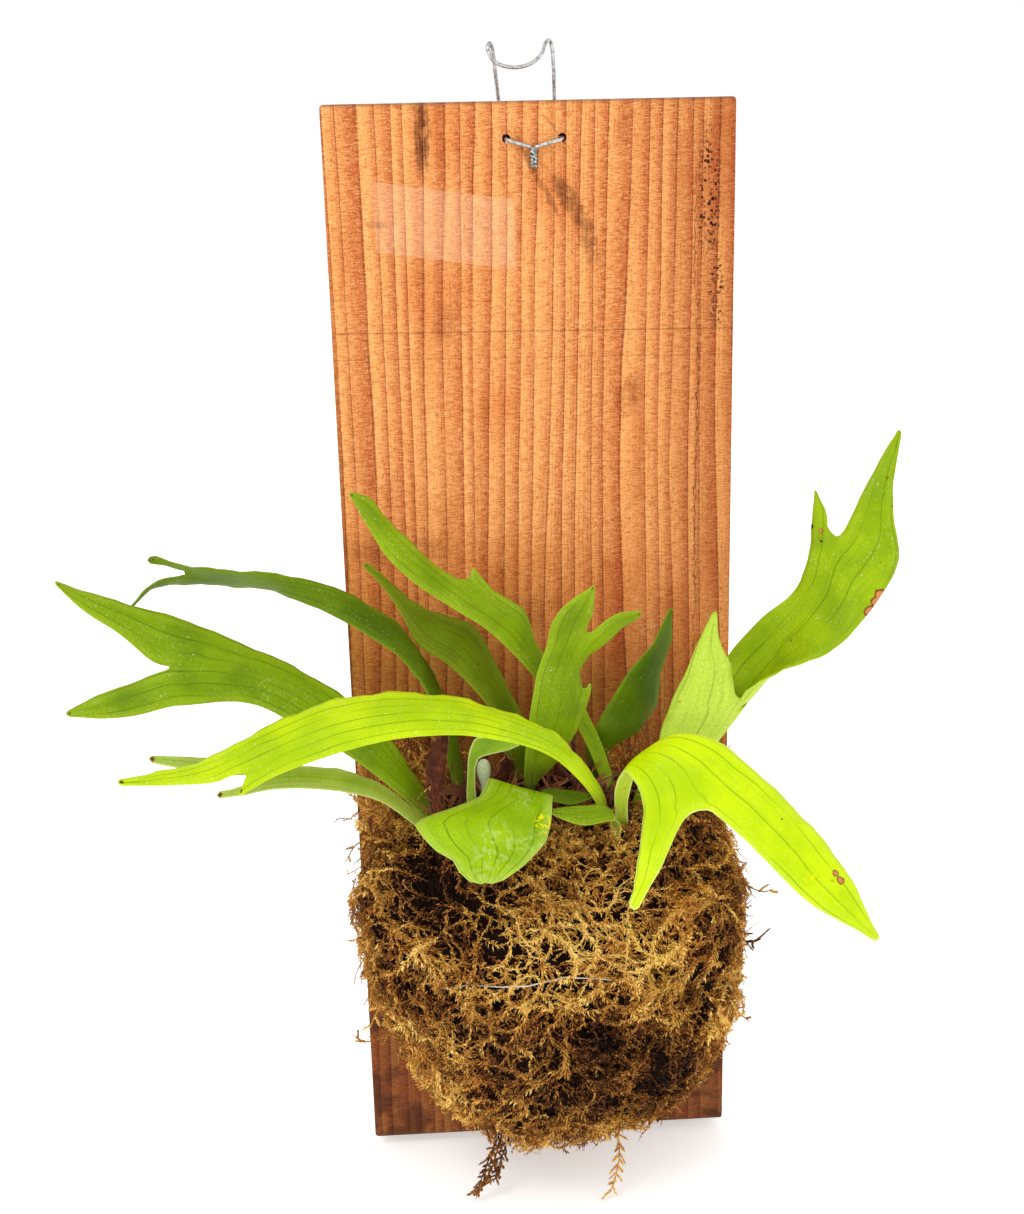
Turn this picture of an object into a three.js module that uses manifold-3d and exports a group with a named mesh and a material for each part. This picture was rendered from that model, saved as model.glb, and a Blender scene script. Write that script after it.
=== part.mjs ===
// A staghorn fern mounted on a rough-sawn redwood board.
//
// Millimetres, +Z up. The front of the board faces -Y and its back lies in the plane y = 0,
// which is the plane of the wall. The origin is the centre of the back of the board.
//
// The board hangs by a wire loop that passes through two holes. The fern's root ball sits on
// the board inside a wrap of moss, and a clear line laced between six nails ties it down.
// Fourteen green fronds, a bud and a few dry husks grow out of the crown at the top of the wrap.

import * as THREE from "three";
import * as BufferGeometryUtils from "three/addons/utils/BufferGeometryUtils.js";
import Module from "manifold-3d";

const wasm = await Module();
wasm.setup();

// ---------------------------------------------------------------- driving dimensions

const GAP = 0.3; // clearance between pieces that touch

const BOARD_WIDTH = 140;
const BOARD_HEIGHT = 392;
const BOARD_THICK = 19;
const BOARD_CORNER = 1.5;
const BOARD_FRONT = -BOARD_THICK;
const BOARD_TOP = BOARD_HEIGHT / 2;

const WIRE_RADIUS = 0.65;
const WIRE_HOLE_RADIUS = 1.5;
const WIRE_HOLES_X = [-8, 11];
const WIRE_HOLES_Z = BOARD_TOP - 12;
const TWIST_RADIUS = 0.78;
const TWIST_TURNS = 2.5;
const TWIST_TOP = WIRE_HOLES_Z - 3;
const TWIST_PITCH = 2.6;

const MOUND_CENTRE_Z = -106;
const MOUND_HALF = { x: 72, up: 71, down: 83, depth: 71 };
const PLAN_POWER = 2.7; // above 2 makes the wrap squarer than an ellipsoid, seen from above
const PROFILE_POWER = { up: 2.6, down: 2 }; // the same, seen from the side
const MOUND_TAPER = 0.0013; // how much wider the wrap gets for each millimetre up
const MOUND_SHIFT = 1; // how far the wrap sits to the right
const MOUND_SAG = 4; // how much further to the right its lower half sags
const MOUND_TUCK = 0.09; // how far the wrap draws in where it meets the board
const TUCK_DEPTH = 20;
const MOUND_BACK = BOARD_FRONT - GAP;
const MOUND_AROUND = 44;
const MOUND_RINGS = 12;
const RELIEF = 3.4;

const TUFT_COUNT = 84;
const TUFT_LENGTH = [11, 19];
const TUFT_RADIUS = 1.9;
const TUFT_ROOT = 3.5;
const TUFT_RISE = 0.22; // how high a stem stands off the wrap, as a share of its length
const TUFT_HIGHEST = -50; // no tufts above this, where the stalks are

const ROOT_CENTRE_Z = -96;
const ROOT_HALF = { x: 44, up: 42, down: 42, depth: 47 };
const CROWN_CENTRE = [-6, -55];
const CROWN_HALF = [36, 13];
const CROWN_TOP = -38;
const CROWN_DROP = 7; // how much lower the crown is at its edge
const CROWN_TILT = 0.3; // how steeply the crown falls forward
const CROWN_FOOT = -95;
const CROWN_AROUND = 20;
const CROWN_RINGS = 4;
const CROWN_KNOBS = 0.7; // height of the bumps on the crown

const NAIL_SHANK_RADIUS = 1.5;
const NAIL_HEAD_RADIUS = 4;
const NAIL_HEAD_THICK = 1.2;
const NAIL_PROUD = 8;
const NAIL_DRIVEN = 13;
const NAIL_LEVELS = [
  { z: -68, left: -58, right: 58 },
  { z: -106, left: -57, right: 58 },
  { z: -144, left: -48, right: 57 },
];

const LINE_RADIUS = 0.3;
const LINE_LIFT = 1.2; // height of the line over the middle level of the waves of the moss
const LINE_STEPS = 12; // steps in each crossing of the moss
const LINE_TURN_RADIUS = 2.5; // where the line turns round a nail
const LINE_EXIT = 7; // how far past a nail's centre the line runs before it rises

const PETIOLE_THICK = 2.2;
const BLADE_THICK = 1.0;
const RIM_THICK = 0.75;
const PETIOLE_LENGTH = 26; // the stalk thins to blade thickness over this length
const ROW_STEP = 9.5;
const ACROSS_BODY = 6;
const SOCKET_DEPTH = 9;
const SOCKET_SIDE = 1;
const SOCKET_ROWS = 4; // rows of the frond that its socket follows
const ACROSS_SOCKET = 4;
const GROWING_POINT = new THREE.Vector3(-6, -50, -95);

const BUD_PLACE = [-23, -55.5, -29];
const BUD_FOOT = -16;
const BUD_FOOT_RADIUS = 1.6;
const BUD_AROUND = 12;

// ---------------------------------------------------------------- colours

const finish = (colour, roughness, metalness = 0) =>
  new THREE.MeshStandardMaterial({ color: colour, roughness, metalness });

const REDWOOD = finish(0xc08850, 0.85);
const ZINC_WIRE = finish(0xa8a8a4, 0.35, 1);
const MOSS = finish(0x9a7440, 0.95);
const ROOTS = finish(0x4a3422, 0.95);
const CLEAR_LINE = finish(0xdfe3e0, 0.2);
const HUSK = finish(0x8a5a36, 0.8);
const GREENS = {
  bright: finish(0x8fb83a, 0.5),
  mid: finish(0x6c9a38, 0.5),
  dark: finish(0x3f6b35, 0.5),
  olive: finish(0x5c6a30, 0.55),
  pale: finish(0xa3bf86, 0.6),
};

// ---------------------------------------------------------------- general helpers

const vec = ([x, y, z]) => new THREE.Vector3(x, y, z);

// A seeded generator of numbers from 0 to 1, so that every build is the same.
function seeded(seed) {
  let state = seed >>> 0;
  return () => {
    state = (Math.imul(state, 1664525) + 1013904223) >>> 0;
    return state / 4294967296;
  };
}

function geometryOf(points, triangles) {
  const geometry = new THREE.BufferGeometry();
  const flat = points.flatMap((p) => [p.x, p.y, p.z]);
  geometry.setAttribute("position", new THREE.Float32BufferAttribute(flat, 3));
  geometry.setIndex(triangles.flat());
  return geometry;
}

function toManifold(source) {
  const bare = source.clone();
  bare.deleteAttribute("normal");
  bare.deleteAttribute("uv");
  const merged = BufferGeometryUtils.mergeVertices(bare, 1e-4);
  const vertProperties = new Float32Array(merged.attributes.position.array);
  const triVerts = new Uint32Array(merged.index.array);
  return new wasm.Manifold(new wasm.Mesh({ numProp: 3, vertProperties, triVerts }));
}

function fromManifold(solid) {
  const mesh = solid.getMesh();
  const geometry = new THREE.BufferGeometry();
  geometry.setAttribute("position", new THREE.BufferAttribute(mesh.vertProperties, 3));
  geometry.setIndex(new THREE.BufferAttribute(mesh.triVerts, 1));
  return geometry;
}

// The largest body of a solid, without the scraps that a cut leaves loose.
function largest(solid) {
  return solid.decompose().reduce((best, body) => (body.volume() > best.volume() ? body : best));
}

function piece(name, geometry, material) {
  geometry.deleteAttribute("uv");
  geometry.computeVertexNormals();
  const mesh = new THREE.Mesh(geometry, material);
  mesh.name = name;
  return mesh;
}

// A closed sweep of rings with `sides` corners along `points`, one radius for each point.
// The rings turn as little as they can from one point to the next.
function sweep(points, radii, sides) {
  const rings = [];
  const triangles = [];
  let previousWay = null;
  let side = null;
  points.forEach((point, k) => {
    const before = points[Math.max(k - 1, 0)];
    const after = points[Math.min(k + 1, points.length - 1)];
    const way = after.clone().sub(before).normalize();
    if (side === null) {
      const helper = Math.abs(way.z) > 0.9 ? vec([1, 0, 0]) : vec([0, 0, 1]);
      side = way.clone().cross(helper).normalize();
    } else {
      side.applyQuaternion(new THREE.Quaternion().setFromUnitVectors(previousWay, way));
    }
    previousWay = way;
    const other = way.clone().cross(side);
    for (let i = 0; i < sides; i++) {
      const turn = (2 * Math.PI * i) / sides;
      const corner = point.clone().addScaledVector(side, radii[k] * Math.cos(turn));
      rings.push(corner.addScaledVector(other, radii[k] * Math.sin(turn)));
    }
  });
  for (let k = 0; k + 1 < points.length; k++) {
    for (let i = 0; i < sides; i++) {
      const here = k * sides + i;
      const next = k * sides + ((i + 1) % sides);
      triangles.push([here, next, next + sides], [here, next + sides, here + sides]);
    }
  }
  const last = (points.length - 1) * sides;
  for (let i = 1; i + 1 < sides; i++) {
    triangles.push([0, i + 1, i], [last, last + i, last + i + 1]);
  }
  return geometryOf(rings, triangles);
}

function evenTube(points, radius, sides) {
  return sweep(points, points.map(() => radius), sides);
}

// ---------------------------------------------------------------- board and hanger

function rodAlongY(radius, fromY, toY, x, z, sides) {
  const rod = new THREE.CylinderGeometry(radius, radius, Math.abs(toY - fromY), sides);
  return rod.translate(x, (fromY + toY) / 2, z);
}

function nailPlaces() {
  return NAIL_LEVELS.flatMap(({ z, left, right }) => [
    { x: left, z },
    { x: right, z },
  ]);
}

function board() {
  const half = [BOARD_WIDTH / 2, BOARD_HEIGHT / 2];
  const outline = new THREE.Shape();
  outline.moveTo(-half[0] + BOARD_CORNER, -half[1]);
  const corners = [
    [half[0] - BOARD_CORNER, -half[1] + BOARD_CORNER, -Math.PI / 2],
    [half[0] - BOARD_CORNER, half[1] - BOARD_CORNER, 0],
    [-half[0] + BOARD_CORNER, half[1] - BOARD_CORNER, Math.PI / 2],
    [-half[0] + BOARD_CORNER, -half[1] + BOARD_CORNER, Math.PI],
  ];
  for (const [x, y, start] of corners) {
    outline.absarc(x, y, BOARD_CORNER, start, start + Math.PI / 2, false);
  }
  const slab = new THREE.ExtrudeGeometry(outline, {
    depth: BOARD_THICK,
    bevelEnabled: false,
    curveSegments: 3,
  });
  slab.rotateX(Math.PI / 2);
  let solid = toManifold(slab);
  for (const x of WIRE_HOLES_X) {
    const drill = rodAlongY(WIRE_HOLE_RADIUS, 1, BOARD_FRONT - 1, x, WIRE_HOLES_Z, 12);
    solid = solid.subtract(toManifold(drill));
  }
  for (const { x, z } of nailPlaces()) {
    const bottom = BOARD_FRONT + NAIL_DRIVEN + GAP;
    const hole = rodAlongY(NAIL_SHANK_RADIUS + GAP, BOARD_FRONT - 1, bottom, x, z, 10);
    solid = solid.subtract(toManifold(hole));
  }
  return piece("board", fromManifold(solid), REDWOOD);
}

// One end of the wire, wound round the other below the holes. The end comes last.
function twistedEnd(phase) {
  const middle = (WIRE_HOLES_X[0] + WIRE_HOLES_X[1]) / 2 - 0.5;
  const front = BOARD_FRONT - GAP - WIRE_RADIUS - TWIST_RADIUS;
  const points = [];
  const steps = TWIST_TURNS * 8;
  for (let i = 0; i <= steps; i++) {
    const turn = phase + (2 * Math.PI * i) / 8;
    const z = TWIST_TOP - (TWIST_PITCH * i) / 8;
    const out = [TWIST_RADIUS * Math.cos(turn), TWIST_RADIUS * Math.sin(turn)];
    points.push(vec([middle + out[0], front + out[1], z]));
  }
  return points;
}

function hangerWire() {
  const back = WIRE_RADIUS + GAP;
  const front = BOARD_FRONT - WIRE_RADIUS - GAP;
  const [left, right] = WIRE_HOLES_X;
  const hole = WIRE_HOLES_Z;
  const throughLeft = [
    [left + 0.9, front - 0.5, hole - 0.8],
    [left + 0.1, front + 0.5, hole - 0.4],
    [left, front + 2.5, hole],
    [left, -8, hole],
    [left, -1.6, hole + 0.1],
    [left - 0.1, back, hole + 1.6],
  ];
  const loop = [
    [-9, back, 191],
    [-9.3, back + 0.1, 198],
    [-10.2, -0.8, 206],
    [-11, -3, 213],
    [-11.9, -4.6, 215.8],
    [-12.9, -6.4, 214.6],
    [-12, -8, 211],
    [-9.4, -9, 208.6],
    [-4, -9.5, 207.4],
    [1.5, -9, 208.6],
    [5.2, -7.6, 211.6],
    [7, -5.6, 215.6],
    [8.4, -3.8, 216.4],
    [9.4, -2.4, 213.6],
    [10, -0.4, 206],
    [10.2, back + 0.1, 198],
    [10.7, back, 191],
  ];
  const throughRight = [
    [right + 0.1, back, hole + 1.6],
    [right, -1.6, hole + 0.1],
    [right, -8, hole],
    [right, front + 2.5, hole],
    [right - 0.1, front + 0.5, hole - 0.4],
    [right - 0.9, front - 0.5, hole - 0.8],
  ];
  const run = (route) => {
    const curve = new THREE.CatmullRomCurve3(route.map(vec), false, "centripetal");
    return curve.getPoints((route.length - 1) * 2);
  };
  const points = [
    ...twistedEnd(Math.PI).reverse(),
    ...run([...throughLeft, ...loop, ...throughRight]),
    ...twistedEnd(0),
  ];
  return piece("hanger_wire", evenTube(points, WIRE_RADIUS, 5), ZINC_WIRE);
}

function nail(index, { x, z }) {
  const shankEnd = BOARD_FRONT + NAIL_DRIVEN;
  const headBack = BOARD_FRONT - NAIL_PROUD + NAIL_HEAD_THICK;
  const profile = [
    [0, 0],
    [NAIL_SHANK_RADIUS * 0.3, 0],
    [NAIL_SHANK_RADIUS, 3],
    [NAIL_SHANK_RADIUS, shankEnd - headBack],
    [NAIL_HEAD_RADIUS, shankEnd - headBack],
    [NAIL_HEAD_RADIUS * 0.9, shankEnd - headBack + NAIL_HEAD_THICK],
    [0, shankEnd - headBack + NAIL_HEAD_THICK],
  ].map(([r, h]) => new THREE.Vector2(r, h));
  const body = new THREE.LatheGeometry(profile, 7);
  body.rotateX(Math.PI);
  body.translate(x, shankEnd, z);
  return piece(`nail_${index + 1}`, body, ZINC_WIRE);
}

// ---------------------------------------------------------------- moss wrap and root ball

// How far a squared ellipsoid reaches from its centre in the direction `way`.
function reach(way, half) {
  const across = Math.abs(way.x / half.x) ** PLAN_POWER;
  const plan = (across + Math.abs(way.y / half.depth) ** PLAN_POWER) ** (1 / PLAN_POWER);
  const end = way.z > 0 ? "up" : "down";
  const power = PROFILE_POWER[end];
  return (plan ** power + Math.abs(way.z / half[end]) ** power) ** (-1 / power);
}

// The waves of the moss surface, between -1 and 1.
function waves(way) {
  const a = Math.sin(11 * way.x + 5 * way.z + 1.3) * Math.sin(9 * way.z - 4 * way.y + 0.4);
  const b = Math.sin(23 * way.x - 17 * way.z + 2.1) * Math.sin(19 * way.z + 21 * way.y + 0.9);
  const c = Math.sin(41 * way.x + 37 * way.y - 1.7) * Math.sin(43 * way.z - 31 * way.x + 3.1);
  return 0.45 * a + 0.35 * b + 0.3 * c;
}

// A point on the wrap: `way` is a unit direction from the centre of its back.
function wrapPoint(way, relief) {
  const depthShare = Math.min(1, -way.y * 3);
  const length = reach(way, MOUND_HALF) + relief * waves(way) * depthShare;
  return settled(way.clone().multiplyScalar(length));
}

// Draws a point of the squared ellipsoid in near the board, widens it higher up, lets its
// lower half sag and moves it to its place on the board.
function settled(point) {
  const near = Math.max(0, 1 + point.y / TUCK_DEPTH);
  const tuck = 1 - MOUND_TUCK * near * near;
  const widen = 1 + MOUND_TAPER * point.z;
  const low = THREE.MathUtils.clamp(-point.z / MOUND_HALF.down, 0, 1);
  const x = point.x * tuck * widen + MOUND_SHIFT + MOUND_SAG * Math.sin(Math.PI * low);
  return vec([x, MOUND_BACK + point.y, MOUND_CENTRE_Z + point.z * tuck]);
}

function wrapWay(turn, lift) {
  return vec([Math.cos(lift) * Math.cos(turn), -Math.sin(lift), Math.cos(lift) * Math.sin(turn)]);
}

// A closed dome with a flat back, from a function of turn and lift.
function dome(pointAt, around, rings, backCentre) {
  const points = [];
  const triangles = [];
  for (let k = 0; k < rings; k++) {
    for (let i = 0; i < around; i++) {
      points.push(pointAt((2 * Math.PI * i) / around, ((Math.PI / 2) * k) / rings));
    }
  }
  const pole = points.push(pointAt(0, Math.PI / 2)) - 1;
  const back = points.push(backCentre) - 1;
  for (let i = 0; i < around; i++) {
    const next = (i + 1) % around;
    for (let k = 0; k + 1 < rings; k++) {
      const [here, there] = [k * around + i, k * around + next];
      triangles.push([here, there, there + around], [here, there + around, here + around]);
    }
    const top = (rings - 1) * around;
    triangles.push([top + i, top + next, pole], [next, i, back]);
  }
  return geometryOf(points, triangles);
}

// The route of the line over the wrap from one nail to the next.
function crossing(from, to) {
  const points = [];
  for (let i = 1; i < LINE_STEPS; i++) {
    const share = i / LINE_STEPS;
    const turn = Math.PI * share;
    const z = THREE.MathUtils.lerp(from.z, to.z, share) - MOUND_CENTRE_Z;
    const end = z > 0 ? "up" : "down";
    const power = PROFILE_POWER[end];
    const slice = (1 - Math.abs(z / MOUND_HALF[end]) ** power) ** (1 / power);
    const side = Math.sign(from.x) * Math.cos(turn);
    const x = slice * MOUND_HALF.x * Math.sign(side) * Math.abs(side) ** (2 / PLAN_POWER);
    const depth = slice * MOUND_HALF.depth * Math.sin(turn) ** (2 / PLAN_POWER);
    const out = 1 + LINE_LIFT / MOUND_HALF.x;
    points.push(settled(vec([x * out, -depth * out, z])));
  }
  return points;
}

// The line comes in under a nail's head, turns round the shank and goes out again.
function roundNail({ x, z }) {
  const y = BOARD_FRONT - NAIL_PROUD / 2;
  const outside = x + Math.sign(x) * LINE_EXIT;
  const points = [vec([outside, y, z + LINE_TURN_RADIUS])];
  for (let i = 0; i <= 6; i++) {
    const turn = (Math.PI * i) / 6;
    const inward = x - Math.sign(x) * LINE_TURN_RADIUS * Math.sin(turn);
    points.push(vec([inward, y, z + LINE_TURN_RADIUS * Math.cos(turn)]));
  }
  points.push(vec([outside, y, z - LINE_TURN_RADIUS]));
  return points;
}

function lineRoute() {
  const places = nailPlaces();
  const points = [];
  places.forEach((place, k) => {
    points.push(...roundNail(place));
    if (k + 1 < places.length) points.push(...crossing(place, places[k + 1]));
  });
  return points;
}

function tieLine(route) {
  return piece("tie_line", evenTube(route, LINE_RADIUS, 4), CLEAR_LINE);
}

// A stem of moss as a curved horn, sunk into the wrap and bent over to one side.
function tuft(random, route) {
  for (;;) {
    const way = wrapWay(2 * Math.PI * random(), Math.asin(0.2 + 0.8 * random()));
    const root = wrapPoint(way, RELIEF);
    const length = THREE.MathUtils.lerp(...TUFT_LENGTH, random());
    const lean = vec([random() - 0.5, random() - 0.5, random() - 0.5]);
    const clear = route.every((p) => p.distanceTo(root) > length * 0.35 + 2);
    if (!clear || root.z > TUFT_HIGHEST) continue;
    lean.projectOnPlane(way).normalize();
    const at = (rise, run) => root.clone().addScaledVector(way, rise).addScaledVector(lean, run);
    const points = [
      at(-TUFT_ROOT, -TUFT_ROOT / 2),
      at(TUFT_RISE * length, length / 3),
      at(TUFT_RISE * length, length),
    ];
    return sweep(points, [TUFT_RADIUS, TUFT_RADIUS * 0.85, 0.5], 3);
  }
}

// Loose strands that hang from the wrap: points from the root to the tip.
const STRANDS = [
  [[-19, -52, -170], [-24, -55, -181], [-28, -58, -190], [-30, -59, -197]],
  [[20, -55, -167], [23, -58, -178], [22, -60, -189], [19, -60, -198]],
  [[58, -52, -70], [67, -56, -74], [75, -58, -77], [79, -58, -76]],
  [[60, -50, -92], [68, -53, -97], [73, -54, -100], [76, -54, -99]],
  [[-54, -50, -126], [-63, -53, -131], [-70, -54, -132], [-74, -54, -129]],
];

function strand(points) {
  const curve = new THREE.CatmullRomCurve3(points.map(vec));
  return sweep(curve.getPoints(5), [1.2, 1.1, 1, 0.8, 0.65, 0.45], 3);
}

function crownColumn(extra, top) {
  const column = new THREE.CylinderGeometry(1, 1, top - CROWN_FOOT, CROWN_AROUND, 1);
  column.rotateX(Math.PI / 2);
  column.scale(CROWN_HALF[0] + extra, CROWN_HALF[1] + extra, 1);
  column.translate(CROWN_CENTRE[0], CROWN_CENTRE[1], (top + CROWN_FOOT) / 2);
  return column;
}

function rootLump(extra) {
  const half = { ...ROOT_HALF };
  for (const side of Object.keys(half)) half[side] += extra;
  const pointAt = (turn, lift) => {
    const way = wrapWay(turn, lift);
    const lumps = 1 + 0.02 * Math.sin(7 * way.x + 9 * way.z) * Math.sin(8 * way.y);
    const point = way.multiplyScalar(reach(way, half) * lumps);
    return vec([point.x, MOUND_BACK + point.y, ROOT_CENTRE_Z + point.z]);
  };
  return dome(pointAt, 20, 5, vec([0, MOUND_BACK, ROOT_CENTRE_Z]));
}

// The crown: a low dome of old stalk bases, higher at its middle.
function crownDome() {
  const rings = CROWN_RINGS;
  const around = CROWN_AROUND;
  const points = [];
  const triangles = [];
  for (let k = 0; k < rings; k++) {
    const share = 1 - k / rings;
    for (let i = 0; i < around; i++) {
      const turn = (2 * Math.PI * i) / around;
      const knob = k > 0 ? CROWN_KNOBS * Math.sin(5 * turn + 2 * k) : 0;
      const x = CROWN_HALF[0] * share * Math.cos(turn);
      const y = CROWN_HALF[1] * share * Math.sin(turn);
      const z = CROWN_TOP - CROWN_DROP * share * share + CROWN_TILT * y + knob;
      points.push(vec([CROWN_CENTRE[0] + x, CROWN_CENTRE[1] + y, z]));
    }
  }
  const pole = points.push(vec([...CROWN_CENTRE, CROWN_TOP])) - 1;
  const foot = points.push(vec([...CROWN_CENTRE, CROWN_FOOT])) - 1;
  const lower = points.length;
  for (let i = 0; i < around; i++) {
    points.push(vec([points[i].x, points[i].y, CROWN_FOOT]));
  }
  for (let i = 0; i < around; i++) {
    const next = (i + 1) % around;
    for (let k = 0; k + 1 < rings; k++) {
      const [here, there] = [k * around + i, k * around + next];
      triangles.push([here, there, there + around], [here, there + around, here + around]);
    }
    const top = (rings - 1) * around;
    triangles.push([top + i, top + next, pole]);
    triangles.push([lower + i, lower + next, next], [lower + i, next, i]);
    triangles.push([lower + next, lower + i, foot]);
  }
  return geometryOf(points, triangles);
}

function rootBall(sockets) {
  let solid = toManifold(rootLump(0)).add(toManifold(crownDome()));
  for (const socket of sockets) solid = solid.subtract(socket);
  return piece("root_ball", fromManifold(solid), ROOTS);
}

function moss(route, sockets) {
  const pointAt = (turn, lift) => wrapPoint(wrapWay(turn, lift), RELIEF);
  const back = vec([0, MOUND_BACK, MOUND_CENTRE_Z]);
  let solid = toManifold(dome(pointAt, MOUND_AROUND, MOUND_RINGS, back));
  const random = seeded(7);
  for (let i = 0; i < TUFT_COUNT; i++) solid = solid.add(toManifold(tuft(random, route)));
  for (const points of STRANDS) solid = solid.add(toManifold(strand(points)));
  solid = solid.subtract(toManifold(rootLump(GAP)));
  solid = solid.subtract(toManifold(crownColumn(GAP, 0)));
  solid = solid.subtract(toManifold(evenTube(route, LINE_RADIUS + GAP * Math.SQRT2, 4)));
  for (const { x, z } of nailPlaces()) {
    const head = BOARD_FRONT - NAIL_PROUD - GAP;
    const pocket = rodAlongY(NAIL_HEAD_RADIUS + GAP, BOARD_FRONT + 1, head, x, z, 10);
    solid = solid.subtract(toManifold(pocket));
  }
  for (const socket of sockets) solid = solid.subtract(socket);
  return piece("moss", fromManifold(largest(solid)), MOSS);
}

// ---------------------------------------------------------------- fronds

// A frond is a sheet laid between its two margins. Each row gives the left margin and the
// right margin, as seen when looking at the upper face with the tip pointing away, and how
// far the middle of the row rises (or, below 0, sinks) from the line between them. Lobes
// start from a share of the last row and have rows of their own.
const FRONDS = [
  {
    name: "frond_left_long_arch",
    colour: "bright",
    rows: [
      [[16, -64, -42], [19, -60, -41], 0.6],
      [[5, -80, -20], [9, -74, -18], 0.8],
      [[-5, -90, -9], [-1, -82, -5], 1],
      [[-17, -98, -2], [-13, -88, 3], 1.4],
      [[-33, -104, 3], [-31, -92, 11], 1.8],
      [[-53, -109, 4], [-53, -96, 15], 2],
      [[-73, -111, 0], [-74, -98, 13], 2],
      [[-92, -110, -7], [-94, -98, 5], 1.6],
    ],
    lobes: [
      { from: 0, to: 2, rows: [[[-99, -109, -12], [-99, -107, -10], 0]] },
      {
        from: 2,
        to: 6,
        rows: [
          [[-106, -106, -8], [-109, -98, -3], 1],
          [[-119, -103, -10], [-124, -98, -7], 0.6],
          [[-137, -99, -11], [-138, -98, -9], 0],
        ],
      },
    ],
  },
  {
    name: "frond_left_forked",
    colour: "mid",
    rows: [
      [[-44, -50, -47], [-40, -46, -44], 0.4],
      [[-55, -56, -33], [-49, -49, -28], 0.8],
      [[-69, -62, -18], [-56, -53, -14], 1.2],
      [[-84, -68, -5], [-68, -57, 0], 1.8],
      [[-100, -73, 6], [-86, -60, 14], 2],
      [[-122, -82, 9], [-113, -66, 30], 2],
    ],
    lobes: [
      {
        from: 0,
        to: 3,
        rows: [
          [[-134, -84, 7], [-140, -79, 15], 0.8],
          [[-144, -83, 6], [-149, -80, 12], 0.5],
          [[-155, -83, 7], [-156, -82, 9], 0],
        ],
      },
      {
        from: 3,
        to: 6,
        rows: [
          [[-127, -76, 21], [-121, -67, 34], 1.2],
          [[-139, -76, 32], [-136, -70, 40], 0.8],
          [[-150, -77, 41], [-147, -73, 45], 0.5],
          [[-156, -77, 48], [-157, -76, 50], 0],
        ],
      },
    ],
  },
  {
    name: "frond_left_edge_on",
    colour: "dark",
    rows: [
      [[-33, -50, -38], [-29, -46, -38], 0.3],
      [[-37, -54, -15], [-32, -46, -18], 0.6],
      [[-42, -56, 2], [-36, -45, -4], 1],
      [[-50, -56, 14], [-49, -45, 21], 1],
      [[-72, -53, 29], [-72, -48, 38], 0.8],
      [[-95, -48, 38], [-92, -58, 46], 0.6],
      [[-116, -50, 41], [-111, -62, 49], 0.4],
    ],
    lobes: [
      {
        from: 0,
        to: 3,
        rows: [
          [[-124, -53, 42.5], [-121, -58, 46], 0.3],
          [[-132, -59, 41.5], [-130, -62, 45], 0.2],
          [[-137.5, -66, 37.5], [-136, -67, 39], 0],
        ],
      },
      {
        from: 3,
        to: 6,
        rows: [
          [[-121, -59, 49], [-119, -63, 51], 0.3],
          [[-130, -62, 52], [-128, -63, 54], 0],
        ],
      },
    ],
  },
  {
    name: "frond_left_low",
    colour: "pale",
    rows: [
      [[-44, -58, -50], [-40, -55, -49], 0.2],
      [[-60, -68, -32], [-60, -62, -28], 0.6],
      [[-79, -76, -24], [-74, -68, -20], 0.8],
      [[-94, -81, -21], [-91, -73, -16], 1],
    ],
    lobes: [
      {
        from: 0,
        to: 3,
        rows: [
          [[-101, -83, -22], [-101, -80, -20], 0.2],
          [[-110, -83, -23], [-110, -82, -21], 0],
        ],
      },
      {
        from: 3,
        to: 6,
        rows: [
          [[-111, -82, -15], [-109, -78, -11], 0.2],
          [[-131, -82, -10], [-131, -81, -8], 0],
        ],
      },
    ],
  },
  {
    name: "frond_upper_left",
    colour: "mid",
    rows: [
      [[20, -52, -46], [24, -50, -45], 0.3],
      [[10, -53, -14], [15, -51, -12], 0.4],
      [[-1, -56, -1], [5, -52, 5], 0.6],
      [[-6, -59, 8], [-3, -53, 15], 1],
      [[-15, -61, 19], [-7, -54, 28], 1.4],
      [[-22, -62, 26], [-16, -54, 35], 1.4],
      [[-28, -62, 30], [-21, -54, 39], 1.4],
    ],
    lobes: [
      {
        from: 0,
        to: 4,
        rows: [
          [[-34, -61, 34], [-31, -54, 41], 1],
          [[-45, -60, 42], [-43, -52, 51], 1.4],
          [[-53, -58, 50], [-52, -51, 61], 1.4],
          [[-59, -56, 60], [-59, -50, 69], 0.8],
          [[-64, -52, 69], [-64, -51, 71], 0],
        ],
      },
      { from: 4, to: 6, rows: [[[-25, -54, 43], [-24, -53, 44], 0]] },
    ],
  },
  {
    name: "frond_centre_forked",
    colour: "mid",
    rows: [
      [[-9, -54, -36], [-5, -54, -35], 0.4],
      [[-9, -62, -22], [3, -56, -25], 1],
      [[-8, -68, -9], [9, -60, -13], 1.6],
      [[-7, -72, 1], [13.4, -64, -2], 1.8],
    ],
    lobes: [
      {
        from: 0,
        to: 5,
        rows: [
          [[-5, -76, 13], [10, -66, 10], 1.6],
          [[-2, -78, 23], [14, -68, 18], 1.6],
        ],
        lobes: [
          {
            from: 0,
            to: 3,
            rows: [
              [[0, -79, 31], [12, -74, 29], 1],
              [[5, -80, 38], [14, -76, 36], 0.6],
              [[12, -79, 42], [14, -78, 42], 0],
            ],
          },
          {
            from: 3,
            to: 5,
            rows: [
              [[15, -73, 27], [18, -69, 20], 0.6],
              [[21, -72, 31], [24, -68, 25], 0.4],
              [[29, -68, 31], [30, -67, 29], 0],
            ],
          },
        ],
      },
      {
        from: 5,
        to: 6,
        rows: [
          [[12.4, -69, 6.6], [13.6, -68.5, 6], 0],
        ],
      },
    ],
  },
  {
    name: "frond_left_olive",
    colour: "olive",
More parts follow.
